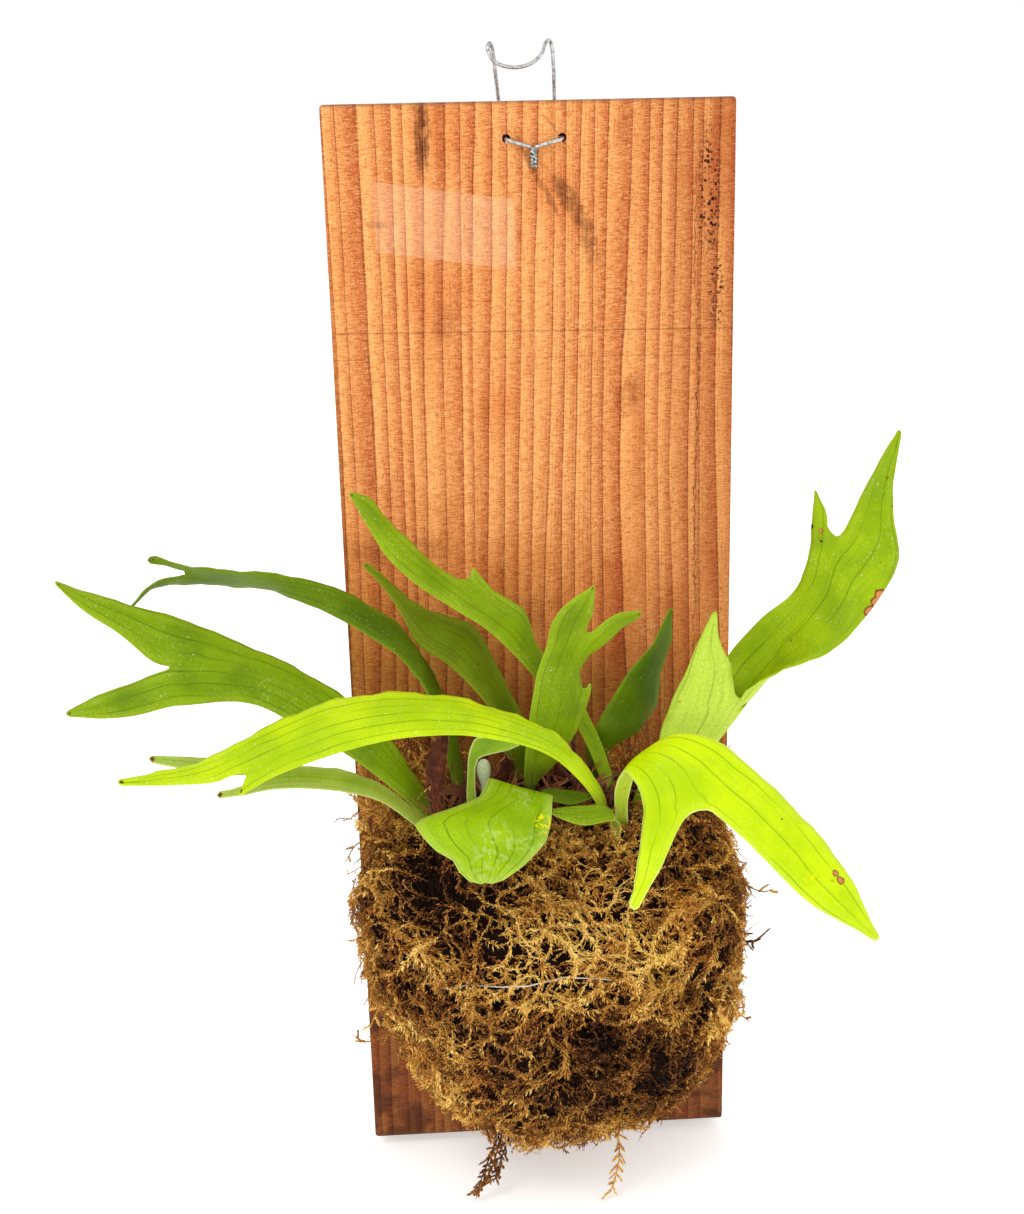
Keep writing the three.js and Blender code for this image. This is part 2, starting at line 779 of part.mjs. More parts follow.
    rows: [
      [[-11, -46, -38], [-7, -46, -38], 0.3],
      [[-16, -50, -22], [-5, -46, -24], 0.8],
      [[-20, -50, -8], [-11, -45, -6], 0.8],
      [[-27, -50, 2], [-17, -43, 6], 1],
      [[-35, -49, 10], [-24, -41, 20], 1.4],
      [[-44, -47, 16], [-33, -40, 24], 1.4],
      [[-50, -43, 27], [-45, -39, 29], 0.6],
      [[-56, -40, 36], [-53, -38, 37], 0.3],
      [[-62, -38, 42], [-60, -37, 43], 0],
    ],
    lobes: [],
  },
  {
    name: "frond_right_dark",
    colour: "dark",
    rows: [
      [[16, -43, -43], [20, -42, -43], 0.3],
      [[14, -44, -26], [22, -42, -28], 0.8],
      [[18, -49, -14], [34, -41, -20], 1.4],
      [[22, -49, -7], [40, -39, -12], 1.6],
      [[27, -46, 0], [41, -37, -5], 1.2],
      [[33, -43, 6], [43, -35, 1], 0.8],
      [[38.5, -40, 11.5], [46, -33, 10.5], 0.6],
      [[45, -37, 22.5], [46.3, -35, 21], 0],
    ],
    lobes: [],
  },
  {
    name: "frond_right_cupped",
    colour: "mid",
    rows: [
      [[28, -51, -47], [32, -56, -48], -0.4],
      [[35, -52, -31], [46, -62, -32], -4],
      [[50, -46, -20], [37, -66, -17], -13],
      [[63, -45, 5], [40.5, -70, 0], -18.5],
    ],
    lobes: [
      {
        from: 0,
        to: 4,
        rows: [
          [[75, -50, 22], [70, -71, 6], -9],
          [[85, -52, 31], [83, -74, 12], -4],
          [[90, -53, 43], [97, -73, 18.6], -2],
          [[91, -52, 54], [107, -70, 28.5], -0.6],
        ],
        lobes: [
          {
            from: 0,
            to: 1,
            rows: [
              [[92, -50.5, 61], [95.3, -53.5, 57.5], 0],
              [[92, -50.5, 66], [93.2, -51, 65], 0],
            ],
          },
          {
            from: 1,
            to: 4,
            rows: [
              [[99.5, -58, 52], [113, -67.5, 36], 1],
              [[104, -57, 60], [118, -64, 45], 1.2],
              [[109, -56, 70], [116, -62, 59], 0.8],
              [[114, -54, 78], [117, -58, 70], 0.4],
              [[119, -53, 86], [120, -54, 84], 0],
            ],
          },
        ],
      },
      {
        from: 4,
        to: 6,
        rows: [
          [[60, -72, 12], [44.5, -72.5, 10], -1],
          [[56, -74, 20], [47.5, -74, 19], -0.6],
          [[54.5, -74.8, 31], [52.8, -75, 31], 0],
        ],
      },
    ],
  },
  {
    name: "frond_right_drooping",
    colour: "bright",
    rows: [
      [[26, -60, -53], [22, -61, -52], 0.4],
      [[26, -68, -35], [21, -70, -33], 0.6],
      [[31, -76, -16], [23, -80, -21], 1],
      [[42, -80, -8], [26, -90, -22], 1.4],
      [[53, -84, -10], [27, -98, -28], 2],
      [[62, -90, -16], [25, -106, -32], 2],
    ],
    lobes: [
      {
        from: 0,
        to: 3,
        rows: [
          [[74, -98, -27], [53, -108, -30], 1.6],
          [[82, -106, -35], [63, -115, -39], 1.4],
          [[90, -114, -46], [75, -120, -51], 1],
          [[97, -124, -62], [94, -125, -62], 0],
        ],
      },
      {
        from: 3,
        to: 6,
        rows: [
          [[36, -108, -31], [23, -112, -39], 1],
          [[31, -114, -38], [21, -117, -45], 0.6],
          [[22, -121, -50], [19, -121, -48], 0],
        ],
      },
    ],
  },
  {
    name: "frond_front_pad",
    colour: "mid",
    rows: [
      [[-13, -60, -38], [-18, -61, -38], 0.4],
      [[-5, -71, -33.5], [-20, -70, -29], 0],
      [[-1, -80, -28.2], [-22, -78, -22], -0.6],
      [[-1.6, -84, -29.2], [-25.5, -83, -26.5], 0.8],
      [[-2, -88, -31], [-36, -87, -29], 1.6],
      [[-3, -93, -34], [-47, -93, -31], 2],
      [[-4, -96, -35.5], [-44.5, -96, -34], 1.9],
      [[-5, -98, -37], [-40, -99, -38], 1.8],
      [[-8, -101, -39], [-35, -102, -40], 1.4],
      [[-13, -105, -42], [-33, -105, -43], 1],
      [[-19, -109, -44], [-30, -109, -44], 0.4],
    ],
    lobes: [],
  },
  {
    name: "frond_front_small",
    colour: "mid",
    rows: [
      [[23, -69, -49], [19, -70, -48], 0.2],
      [[21, -74, -41], [18, -71, -37], 0.4],
      [[10, -79, -40], [9, -74, -35], 0.8],
      [[3, -81, -37], [3, -77, -34], 0.5],
      [[-2, -81, -34], [-1, -80, -33], 0],
    ],
    lobes: [],
  },
  {
    name: "frond_centre_small",
    colour: "dark",
    rows: [
      [[-6, -62, -41], [-4, -66, -42], 0.2],
      [[-3, -63, -33], [-1, -69, -35], 0.4],
      [[5, -64, -33], [6, -70, -36], 0.4],
      [[13, -66, -34], [13, -68, -35], 0],
    ],
    lobes: [],
  },
  {
    name: "frond_young_curled",
    colour: "pale",
    rows: [
      [[-29, -60, -40], [-25.5, -60, -40], 0.3],
      [[-28.7, -62, -24], [-26, -63, -24], -0.3],
      [[-28, -65, -17], [-23.8, -68, -18], -1],
      [[-26.4, -67, -12.5], [-17, -71, -15.5], -1.6],
      [[-22, -70, -9], [-11.5, -74, -12.5], -1],
    ],
    lobes: [],
  },
];

// Old, dry shield fronds standing at the foot of the green ones.
const HUSKS = [
  {
    name: "husk_left",
    rows: [
      [[-38, -57, -46], [-33, -59, -46], 1],
      [[-41, -58, -32], [-33, -60, -34], 1.6],
      [[-39, -58, -18], [-31, -61, -24], 1.6],
      [[-33, -60, -11], [-30, -61, -12], 0],
    ],
    lobes: [],
  },
  {
    name: "husk_centre",
    rows: [
      [[-25, -50, -44], [-19, -49, -44], 1],
      [[-24, -49.5, -37], [-16, -51, -36], 1.4],
      [[-18, -55, -28.5], [-12.5, -53, -28], 1],
      [[-17.5, -57, -23.5], [-12, -55, -24], 0],
    ],
    lobes: [],
  },
  {
    name: "husk_right",
    rows: [
      [[2, -48, -46], [9, -48, -46], 1],
      [[1, -48, -36], [12, -48, -35], 1.6],
      [[3, -49, -26], [10, -49, -24], 0.8],
      [[6, -50, -17], [8, -50, -16], 0],
    ],
    lobes: [],
  },
];

function rowOf([left, right, rise]) {
  return { left: vec(left), right: vec(right), rise };
}

// The same row moved towards the growing point by `depth`, where the stalk is set.
function sunkRow(row, depth) {
  const middle = row.left.clone().lerp(row.right, 0.5);
  const down = GROWING_POINT.clone().sub(middle).setLength(depth);
  return {
    left: row.left.clone().lerp(middle, 0.25).add(down),
    right: row.right.clone().lerp(middle, 0.25).add(down),
    rise: row.rise,
  };
}

// Points of one row, from the left margin to the right one.
function rowPoints(row, forward, across) {
  const side = row.right.clone().sub(row.left);
  const up = side.clone().cross(forward).normalize();
  const points = [];
  for (let j = 0; j <= across; j++) {
    const share = j / across;
    const point = row.left.clone().addScaledVector(side, share);
    points.push(point.addScaledVector(up, row.rise * 4 * share * (1 - share)));
  }
  return points;
}

// Lays one strip of the sheet and its lobes. `start` holds the indices of its first row.
function layStrip(sheet, strip, controls, start, travelled, bodyAcross = ACROSS_BODY) {
  const across = start ? start.length - 1 : bodyAcross;
  const margin = (side) => new THREE.CatmullRomCurve3(controls.map((row) => row[side]));
  const [left, right] = [margin("left"), margin("right")];
  const first = start ? controls.length - strip.rows.length - 1 : 0;
  const spans = controls.length - 1;
  const middles = controls.map((row) => row.left.clone().lerp(row.right, 0.5));
  let previous = start;
  let distance = travelled;
  for (let k = first; k < spans; k++) {
    const length = middles[k].distanceTo(middles[k + 1]);
    const steps = Math.max(1, Math.round(length / ROW_STEP));
    for (let i = k === first && !start ? 0 : 1; i <= steps; i++) {
      const share = (k + i / steps) / spans;
      const row = {
        left: left.getPoint(share),
        right: right.getPoint(share),
        rise: THREE.MathUtils.lerp(controls[k].rise, controls[k + 1].rise, i / steps),
      };
      const forward = left.getTangent(share).add(right.getTangent(share));
      const indices = rowPoints(row, forward, across).map((point, j) => {
        const travel = distance + (length * i) / steps;
        return sheet.points.push({ point, travel, edge: Math.abs((2 * j) / across - 1) }) - 1;
      });
      if (previous) {
        for (let j = 0; j < across; j++) {
          const [a, b, c, d] = [previous[j], previous[j + 1], indices[j + 1], indices[j]];
          if (j * 2 < across) sheet.triangles.push([a, b, c], [a, c, d]);
          else sheet.triangles.push([a, b, d], [b, c, d]);
        }
      }
      previous = indices;
    }
    distance += length;
  }
  const last = controls[controls.length - 1];
  const before = controls[controls.length - 2];
  for (const lobe of strip.lobes ?? []) {
    const cut = (row) => ({
      left: row.left.clone().lerp(row.right, lobe.from / across),
      right: row.left.clone().lerp(row.right, lobe.to / across),
      rise: row.rise * ((lobe.to - lobe.from) / across) ** 2,
    });
    const corner = {
      left: sheet.points[previous[lobe.from]].point,
      right: sheet.points[previous[lobe.to]].point,
      rise: cut(last).rise,
    };
    const rows = [cut(before), corner, ...lobe.rows.map(rowOf)];
    layStrip(sheet, lobe, rows, previous.slice(lobe.from, lobe.to + 1), distance);
  }
}

// Thickness of the leaf: thick along the middle of the stalk, thin at the rim of the blade.
function leafThickness({ travel, edge }) {
  const stalk = Math.max(0, 1 - travel / PETIOLE_LENGTH);
  const middle = BLADE_THICK + (PETIOLE_THICK - BLADE_THICK) * stalk;
  const rim = RIM_THICK + 0.5 * stalk;
  return THREE.MathUtils.lerp(middle, rim, edge * edge);
}

// Turns the sheet into a closed leaf, split into triangles alike on both faces.
function thicken(sheet, extra) {
  const normals = sheet.points.map(() => new THREE.Vector3());
  const open = new Map();
  const [ab, ac] = [new THREE.Vector3(), new THREE.Vector3()];
  for (const corners of sheet.triangles) {
    const [a, b, c] = corners.map((i) => sheet.points[i].point);
    ab.subVectors(b, a);
    ac.subVectors(c, a);
    const facing = ab.cross(ac);
    corners.forEach((i) => normals[i].add(facing));
    corners.forEach((from, n) => {
      const to = corners[(n + 1) % 3];
      if (open.has(`${to},${from}`)) open.delete(`${to},${from}`);
      else open.set(`${from},${to}`, [from, to]);
    });
  }
  const count = sheet.points.length;
  const points = [];
  for (const way of [1, -1]) {
    sheet.points.forEach((entry, i) => {
      const half = leafThickness(entry) / 2 + extra;
      points.push(entry.point.clone().addScaledVector(normals[i].normalize(), way * half));
    });
  }
  const triangles = [];
  for (const [a, b, c] of sheet.triangles) {
    triangles.push([a, b, c], [a + count, c + count, b + count]);
  }
  for (const [from, to] of open.values()) {
    triangles.push([to, from, from + count], [to, from + count, to + count]);
  }
  return geometryOf(points, triangles);
}

function frondSheet(frond) {
  const rows = frond.rows.map(rowOf);
  const controls = [sunkRow(rows[0], SOCKET_DEPTH), ...rows];
  const sheet = { points: [], triangles: [] };
  layStrip(sheet, frond, controls, null, 0);
  return sheet;
}

// The hole that a stalk stands in: its lowest stretch made a little larger all round.
function socketOf(frond) {
  const rows = frond.rows.slice(0, SOCKET_ROWS).map(rowOf);
  const widen = (row) => {
    const side = row.right.clone().sub(row.left).setLength(SOCKET_SIDE);
    return { left: row.left.clone().sub(side), right: row.right.clone().add(side), rise: row.rise };
  };
  const controls = [sunkRow(rows[0], SOCKET_DEPTH + SOCKET_SIDE), ...rows].map(widen);
  const sheet = { points: [], triangles: [] };
  layStrip(sheet, { lobes: [] }, controls, null, 0, ACROSS_SOCKET);
  return toManifold(thicken(sheet, SOCKET_SIDE));
}

// The young bud: a round, furry knob on a short foot.
function bud() {
  const profile = [
    [0, BUD_FOOT],
    [BUD_FOOT_RADIUS - 0.2, BUD_FOOT],
    [BUD_FOOT_RADIUS, -4],
    [2.8, -1],
    [3.2, 2],
    [2.3, 5],
    [0, 6.4],
  ].map(([r, z]) => new THREE.Vector2(r, z));
  const knob = new THREE.LatheGeometry(profile, BUD_AROUND);
  knob.rotateX(Math.PI / 2);
  return piece("young_bud", knob.translate(...BUD_PLACE), GREENS.pale);
}

function budSocket() {
  const radius = BUD_FOOT_RADIUS + SOCKET_SIDE / 2;
  const depth = SOCKET_SIDE - BUD_FOOT;
  const hole = new THREE.CylinderGeometry(radius, radius, depth, BUD_AROUND);
  hole.rotateX(Math.PI / 2);
  hole.translate(0, 0, -depth / 2);
  return toManifold(hole.translate(...BUD_PLACE));
}

// ---------------------------------------------------------------- assembly

const fern = new THREE.Group();
const route = lineRoute();
const leaves = [...FRONDS, ...HUSKS];
const sockets = [...leaves.map(socketOf), budSocket()];

fern.add(board());
fern.add(hangerWire());
nailPlaces().forEach((place, index) => fern.add(nail(index, place)));
fern.add(rootBall(sockets));
fern.add(moss(route, sockets));
fern.add(tieLine(route));
for (const frond of FRONDS) {
  fern.add(piece(frond.name, thicken(frondSheet(frond), 0), GREENS[frond.colour]));
}
for (const husk of HUSKS) {
  fern.add(piece(husk.name, thicken(frondSheet(husk), 0), HUSK));
}
fern.add(bud());

export default fern;
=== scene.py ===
"""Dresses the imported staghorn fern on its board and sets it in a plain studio."""

import logging
import math
from collections.abc import Callable, Sequence
from dataclasses import dataclass, field, replace
from enum import Enum

import bmesh
import bpy
import numpy as np
from mathutils import Matrix, Vector


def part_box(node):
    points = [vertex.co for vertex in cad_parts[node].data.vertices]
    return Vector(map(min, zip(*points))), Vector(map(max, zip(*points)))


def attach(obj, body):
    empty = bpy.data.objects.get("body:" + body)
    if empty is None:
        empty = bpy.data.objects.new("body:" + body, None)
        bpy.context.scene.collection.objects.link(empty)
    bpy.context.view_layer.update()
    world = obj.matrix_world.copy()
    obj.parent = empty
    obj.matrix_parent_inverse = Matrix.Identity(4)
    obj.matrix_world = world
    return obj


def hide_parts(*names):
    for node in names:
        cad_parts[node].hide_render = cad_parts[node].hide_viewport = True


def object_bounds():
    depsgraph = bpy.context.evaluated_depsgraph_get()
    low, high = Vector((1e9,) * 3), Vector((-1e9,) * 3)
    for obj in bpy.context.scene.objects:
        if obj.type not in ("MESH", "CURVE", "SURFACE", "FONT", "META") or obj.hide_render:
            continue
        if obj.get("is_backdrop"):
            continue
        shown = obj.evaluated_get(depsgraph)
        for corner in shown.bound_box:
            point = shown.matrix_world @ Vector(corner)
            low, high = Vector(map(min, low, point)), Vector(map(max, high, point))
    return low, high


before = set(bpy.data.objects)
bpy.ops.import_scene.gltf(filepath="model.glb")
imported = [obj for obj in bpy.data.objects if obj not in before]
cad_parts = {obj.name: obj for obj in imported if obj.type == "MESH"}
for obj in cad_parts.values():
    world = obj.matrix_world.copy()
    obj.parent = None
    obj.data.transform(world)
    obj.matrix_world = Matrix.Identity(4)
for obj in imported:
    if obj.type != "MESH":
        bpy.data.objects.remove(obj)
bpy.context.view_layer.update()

LOG = logging.getLogger("fern")
BODY = "root"
MM = 0.001
FULL_TURN = 2 * math.pi

Paint = tuple[float, float, float, float]
Point = tuple[float, float, float]
Pair = tuple[float, float]
Row = tuple[Point, Point, float]
Array = np.ndarray
Random = np.random.Generator
Material = bpy.types.Material


def paint(red: float, green: float, blue: float) -> Paint:
    """Turns a colour mixed on a screen, from 0 to 255, into the linear one a shader reads."""
    shares = (part / 255 for part in (red, green, blue))
    linear = (n / 12.92 if n <= 0.04045 else ((n + 0.055) / 1.055) ** 2.4 for n in shares)
    return (*linear, 1.0)


# --- shader maths


def operator(operation: str, turned: bool = False) -> Callable[["Shade", "float | Shade"], "Shade"]:
    """Makes the method of one arithmetic operator.

    Args:
        operation: The operation of the Math node that it adds.
        turned: Whether the other value comes first, as in 1 - mask.

    Returns:
        The method.
    """

    def method(self: "Shade", other: "float | Shade") -> "Shade":
        """Adds the operator's Math node."""
        return self.maths(operation, *((other, self) if turned else (self, other)))

    return method


class Shade:
    """A socket of a material that takes part in arithmetic on numbers."""

    def __init__(self, bench: "Bench", socket: bpy.types.NodeSocket) -> None:
        """Keeps an output socket with the bench that its tree belongs to."""
        self.bench = bench
        self.socket = socket

    def maths(self, operation: str, *values: "float | Shade") -> "Shade":
        """Adds a Math node with its values in order."""
        return self.bench.add("ShaderNodeMath", {"operation": operation}, dict(enumerate(values)))

    __add__ = operator("ADD")
    __radd__ = operator("ADD", turned=True)
    __sub__ = operator("SUBTRACT")
    __rsub__ = operator("SUBTRACT", turned=True)
    __mul__ = operator("MULTIPLY")
    __rmul__ = operator("MULTIPLY", turned=True)
    __truediv__ = operator("DIVIDE")

    def __abs__(self) -> "Shade":
        """Drops the sign."""
        return self.maths("ABSOLUTE", self)

    def fraction(self) -> "Shade":
        """Keeps what is past the whole number."""
        return self.maths("FRACT", self)

    def zigzag(self, top: float) -> "Shade":
        """Runs from 0 up to a top and back down, over and over."""
        return self.maths("PINGPONG", self, top)

    def most(self, other: "float | Shade") -> "Shade":
        """Takes the larger of two values."""
        return self.maths("MAXIMUM", self, other)

    def span(self, low: float, high: float, start: float = 0.0, end: float = 1.0) -> "Shade":
        """Maps a span of values smoothly to another and clamps it.

        Args:
            low: The value that gives `start`.
            high: The value that gives `end`.
            start: The result at `low`.
            end: The result at `high`.

        Returns:
            The mapped value.
        """
        if low > high:
            low, high, start, end = high, low, end, start
        inputs = {0: self, 1: low, 2: high, 3: start, 4: end}
        return self.bench.add("ShaderNodeMapRange", {"interpolation_type": "SMOOTHSTEP"}, inputs)


class Bench:
    """The node tree of one material and the ways to lay nodes in it."""

    def __init__(self, name: str) -> None:
        """Starts an empty material of this name."""
        self.material = bpy.data.materials.new(name)
        self.material.use_nodes = True
        self.tree = self.material.node_tree
        self.tree.nodes.clear()

    def add(
        self,
        kind: str,
        settings: dict[str, object],
        inputs: dict[int | str, object],
        output: int | str = 0,
    ) -> Shade:
        """Adds a node of any type.

        Args:
            kind: The node's type.
            settings: Its settings, set first. `stops` holds a ramp's places and colours.
            inputs: A value or a Shade for each socket, by name or number.
            output: The socket that is wanted.

        Returns:
            The wanted socket.
        """
        return Shade(self, self._lay(kind, settings, inputs).outputs[output])

    def _lay(
        self, kind: str, settings: dict[str, object], inputs: dict[int | str, object]
    ) -> bpy.types.Node:
        """Makes the node for `add`, and for the output, which has no socket to give.

        Args:
            kind: The node's type.
            settings: Its settings.
            inputs: A value or a Shade for each socket.

        Returns:
            The node.
        """
        node = self.tree.nodes.new(kind)
        for name, value in settings.items():
            if name != "stops":
                setattr(node, name, value)
                continue
            elements = node.color_ramp.elements
            while len(elements) < len(value):
                elements.new(1.0)
            for element, (place, colour) in zip(elements, value):
                element.position, element.color = place, colour
        for key, value in inputs.items():
            if isinstance(value, Shade):
                self.tree.links.new(value.socket, node.inputs[key])
            else:
                node.inputs[key].default_value = value
        return node

    def place(self) -> Shade:
        """Gives the point of the object in millimetres."""
        here = self.add("ShaderNodeTexCoord", {}, {}, "Object")
        return self.stretch(here, (1 / MM, 1 / MM, 1 / MM))

    def value(self, name: str) -> Shade:
        """Reads a number that the mesh holds at each of its points."""
        return self.add("ShaderNodeAttribute", {"attribute_name": name}, {}, "Fac")

    def vector(self, operation: str, *values: Shade | Point, output: int | str = 0) -> Shade:
        """Adds a Vector Math node with its values in order."""
        inputs = dict(enumerate(values))
        return self.add("ShaderNodeVectorMath", {"operation": operation}, inputs, output)

    def stretch(self, vector: Shade, scale: Point) -> Shade:
        """Multiplies a vector by a number for each axis."""
        return self.vector("MULTIPLY", vector, scale)

    def move(self, vector: Shade, by: Point) -> Shade:
        """Adds a fixed vector to a vector."""
        return self.vector("ADD", vector, by)

    def far(self, vector: Shade, centre: Point) -> Shade:
        """Gives the distance of a vector from a fixed point."""
        return self.vector("DISTANCE", vector, centre, output="Value")

    def warp(self, vector: Shade, amount: float, scale: float) -> Shade:
        """Pushes a vector about with noise, for ragged outlines.

        Args:
            vector: The vector.
            amount: How far it is pushed.
            scale: The noise's scale.

        Returns:
            The pushed vector.
        """
        push = self.add("ShaderNodeTexNoise", {}, {"Vector": vector, "Scale": scale}, "Color")
        centred = self.move(push, (-0.5, -0.5, -0.5))
        return self.vector("MULTIPLY_ADD", centred, (amount, amount, amount), vector)

    def split(self, vector: Shade, axis: str) -> Shade:
        """Takes one axis, X, Y or Z, of a vector."""
        return self.add("ShaderNodeSeparateXYZ", {}, {0: vector}, axis)

    def join(self, x: float | Shade, y: float | Shade, z: float | Shade) -> Shade:
        """Makes a vector from three numbers."""
        return self.add("ShaderNodeCombineXYZ", {}, {0: x, 1: y, 2: z})

    def noise(self, vector: Shade, scale: float, detail: float = 2.0, rough: float = 0.5) -> Shade:
        """Gives soft noise from 0 to 1, with finer layers of its own strength."""
        inputs = {"Vector": vector, "Scale": scale, "Detail": detail, "Roughness": rough}
        return self.add("ShaderNodeTexNoise", {}, inputs)

    def grain(self, vector: Shade, scale: Point, detail: float = 2.0, rough: float = 0.5) -> Shade:
        """Gives noise with a scale for each axis."""
        return self.noise(self.stretch(vector, scale), 1.0, detail, rough)

    def dots(self, vector: Shade, scale: float) -> Shade:
        """Gives the distance to the nearest of many scattered points."""
        inputs = {"Vector": vector, "Scale": scale}
        return self.add("ShaderNodeTexVoronoi", {}, inputs, "Distance")

    def ramp(self, value: Shade, stops: Sequence[tuple[float, Paint]]) -> Shade:
        """Turns a number into a colour."""
        return self.add("ShaderNodeValToRGB", {"stops": stops}, {0: value})

    def blend(self, share: float | Shade, low: Paint | Shade, high: Paint | Shade) -> Shade:
        """Mixes two colours, with this share of the second one."""
        return self._mix("MIX", share, low, high)

    def darken(self, share: float | Shade, colour: Shade, by: Paint | Shade) -> Shade:
        """Multiplies a colour by another."""
        return self._mix("MULTIPLY", share, colour, by)

    def _mix(self, mode: str, share: object, low: object, high: object) -> Shade:
        """Adds a Mix node for colours with this way of mixing."""
        settings = {"data_type": "RGBA", "blend_type": mode}
        return self.add("ShaderNodeMix", settings, {0: share, 6: low, 7: high}, 2)

    def bump(self, height: Shade, strength: float, distance: float) -> Shade:
        """Bends the normal by a height from 0 to 1, where 1 is this many millimetres."""
        inputs = {"Height": height, "Strength": strength, "Distance": distance * MM}
        return self.add("ShaderNodeBump", {}, inputs)

    def close(
        self,
        colour: Shade | Paint,
        roughness: Shade | float,
        normal: Shade | None = None,
        **fixed: object,
    ) -> Material:
        """Ends the material with its surface.

        Args:
            colour: The base colour.
            roughness: The roughness.
            normal: The bent normal, if there is one.
            fixed: Other sockets, with spaces in their names as underscores.

        Returns:
            The finished material.
        """
        inputs: dict[int | str, object] = {"Base Color": colour, "Roughness": roughness}
        if normal is not None:
            inputs["Normal"] = normal
        inputs.update({name.replace("_", " "): value for name, value in fixed.items()})
        surface = self.add("ShaderNodeBsdfPrincipled", {}, inputs)
        self._lay("ShaderNodeOutputMaterial", {}, {"Surface": surface})
        return self.material


# --- meshes


def unit(vectors: Array) -> Array:
    """Gives vectors along the last axis a length of 1."""
    return vectors / np.maximum(np.linalg.norm(vectors, axis=-1, keepdims=True), 1e-9)


def square_to(ways: Array, vectors: Array) -> Array:
    """Turns vectors until they are square to their ways, with a length of 1."""
    return unit(vectors - (vectors * ways).sum(-1, keepdims=True) * ways)


def triangle_edges(faces: Array) -> Array:
    """Gives the three edges of each triangle, in its own direction."""
    return np.concatenate([faces[:, [0, 1]], faces[:, [1, 2]], faces[:, [2, 0]]])


def cover(mesh: bpy.types.Mesh, skin: Material) -> None:
    """Gives a mesh this material and no other."""
    mesh.materials.clear()
    mesh.materials.append(skin)


def dress(made: bpy.types.Object, stands_for: Sequence[str] = ()) -> None:
    """Puts an object in the scene and ties it to the frame.

    Args:
        made: The object.
        stands_for: The CAD nodes that it replaces.
    """
    bpy.context.scene.collection.objects.link(made)
    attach(made, BODY)
    if stands_for:
        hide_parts(*stands_for)
    LOG.info("%s: %d faces", made.name, len(made.data.polygons))


@dataclass
class Shape:
    """A mesh on its way, in millimetres.

    Args:
        points: The points, one row each.
        faces: The corners of each face, all with the same number of corners.
        values: A number for each point, under each name that a material reads.
    """

    points: Array
    faces: Array
    values: dict[str, Array] = field(default_factory=dict)

    @classmethod
    def joined(cls, shapes: Sequence["Shape"]) -> "Shape":
        """Puts several shapes with the same values into one.

        Args:
            shapes: The shapes.

        Returns:
            All of them as one shape.
        """
        starts = np.cumsum([0] + [len(shape.points) for shape in shapes[:-1]])
        faces = [shape.faces + start for shape, start in zip(shapes, starts)]
        names = shapes[0].values
        values = {name: np.concatenate([s.values[name] for s in shapes]) for name in names}
        return cls(np.concatenate([s.points for s in shapes]), np.concatenate(faces), values)

    def piece(
        self,
        name: str,
        finish: Material,
        slot: str,
        stands_for: Sequence[str] = (),
        smooth: bool = True,
    ) -> None:
        """Makes the Blender object and ties it to the frame.

        Args:
            name: The piece's name.
            finish: Its material.
            slot: A material slot's name, which is not used.
            stands_for: The CAD nodes that it replaces.
            smooth: Whether its faces run smoothly into each other.
        """
        mesh = bpy.data.meshes.new(name)
        mesh.vertices.add(len(self.points))
        mesh.vertices.foreach_set("co", (self.points * MM).astype(np.float32).ravel())
        mesh.loops.add(self.faces.size)
        mesh.loops.foreach_set("vertex_index", self.faces.astype(np.int32).ravel())
        mesh.polygons.add(len(self.faces))
        starts = np.arange(0, self.faces.size, self.faces.shape[1], dtype=np.int32)
        mesh.polygons.foreach_set("loop_start", starts)
        mesh.polygons.foreach_set("use_smooth", np.full(len(self.faces), smooth))
        mesh.update(calc_edges=True)
        for key, numbers in self.values.items():
            held = mesh.attributes.new(key, "FLOAT", "POINT")
            held.data.foreach_set("value", numbers.astype(np.float32))
        mesh.materials.append(finish)
        dress(bpy.data.objects.new(name, mesh), stands_for)


class Spline:
    """A smooth line through points, with even turns where the points lie unevenly."""

    def __init__(self, points: Sequence[Point]) -> None:
        """Keeps the points that it passes through and one more past each end."""
        held = np.array(points, float)
        self.points = np.vstack([2 * held[0] - held[1], held, 2 * held[-1] - held[-2]])
        self.spans = len(held) - 1

    def at(self, share: float) -> Array:
        """Gives the point at a share of the spans.

        Args:
            share: From 0 at the first point to 1 at the last.

        Returns:
            The point.
        """
        place = min(max(share, 0.0), 1.0) * self.spans
        k = min(int(place), self.spans - 1)
        t = place - k
        p0, p1, p2, p3 = self.points[k : k + 4]
        pairs = ((p0, p1), (p1, p2), (p2, p3))
        d0, d1, d2 = (max(np.linalg.norm(b - a), 1e-4) ** 0.5 for a, b in pairs)
        start = ((p1 - p0) / d0 - (p2 - p0) / (d0 + d1) + (p2 - p1) / d1) * d1
        end = ((p2 - p1) / d1 - (p3 - p1) / (d1 + d2) + (p3 - p2) / d2) * d1
        square = -3 * p1 + 3 * p2 - 2 * start - end
        cube = 2 * p1 - 2 * p2 + start + end
        return p1 + start * t + square * t * t + cube * t**3

    def way(self, share: float) -> Array:
        """Gives the direction at a share of the spans."""
        return unit(self.at(share + 1e-3) - self.at(share - 1e-3))

    def walk(self, count: int) -> Array:
        """Gives evenly shared points along the line."""
        return np.array([self.at(k / (count - 1)) for k in range(count)])


def framed(paths: Array) -> tuple[Array, Array, Array]:
    """Finds the direction and two side directions along many paths, with no needless twist.

    Args:
        paths: Paths by points by three.

    Returns:
        The direction and the two sides at each point.
    """
    ways = unit(np.gradient(paths, axis=1))
    helper = np.where(np.abs(ways[:, :1, 2:]) > 0.9, [[[1.0, 0, 0]]], [[[0, 0, 1.0]]])
    side = unit(np.cross(ways[:, 0], helper[:, 0]))
    sides = np.empty_like(paths)
    for k in range(paths.shape[1]):
        side = square_to(ways[:, k], side)
        sides[:, k] = side
    return ways, sides, np.cross(ways, sides)


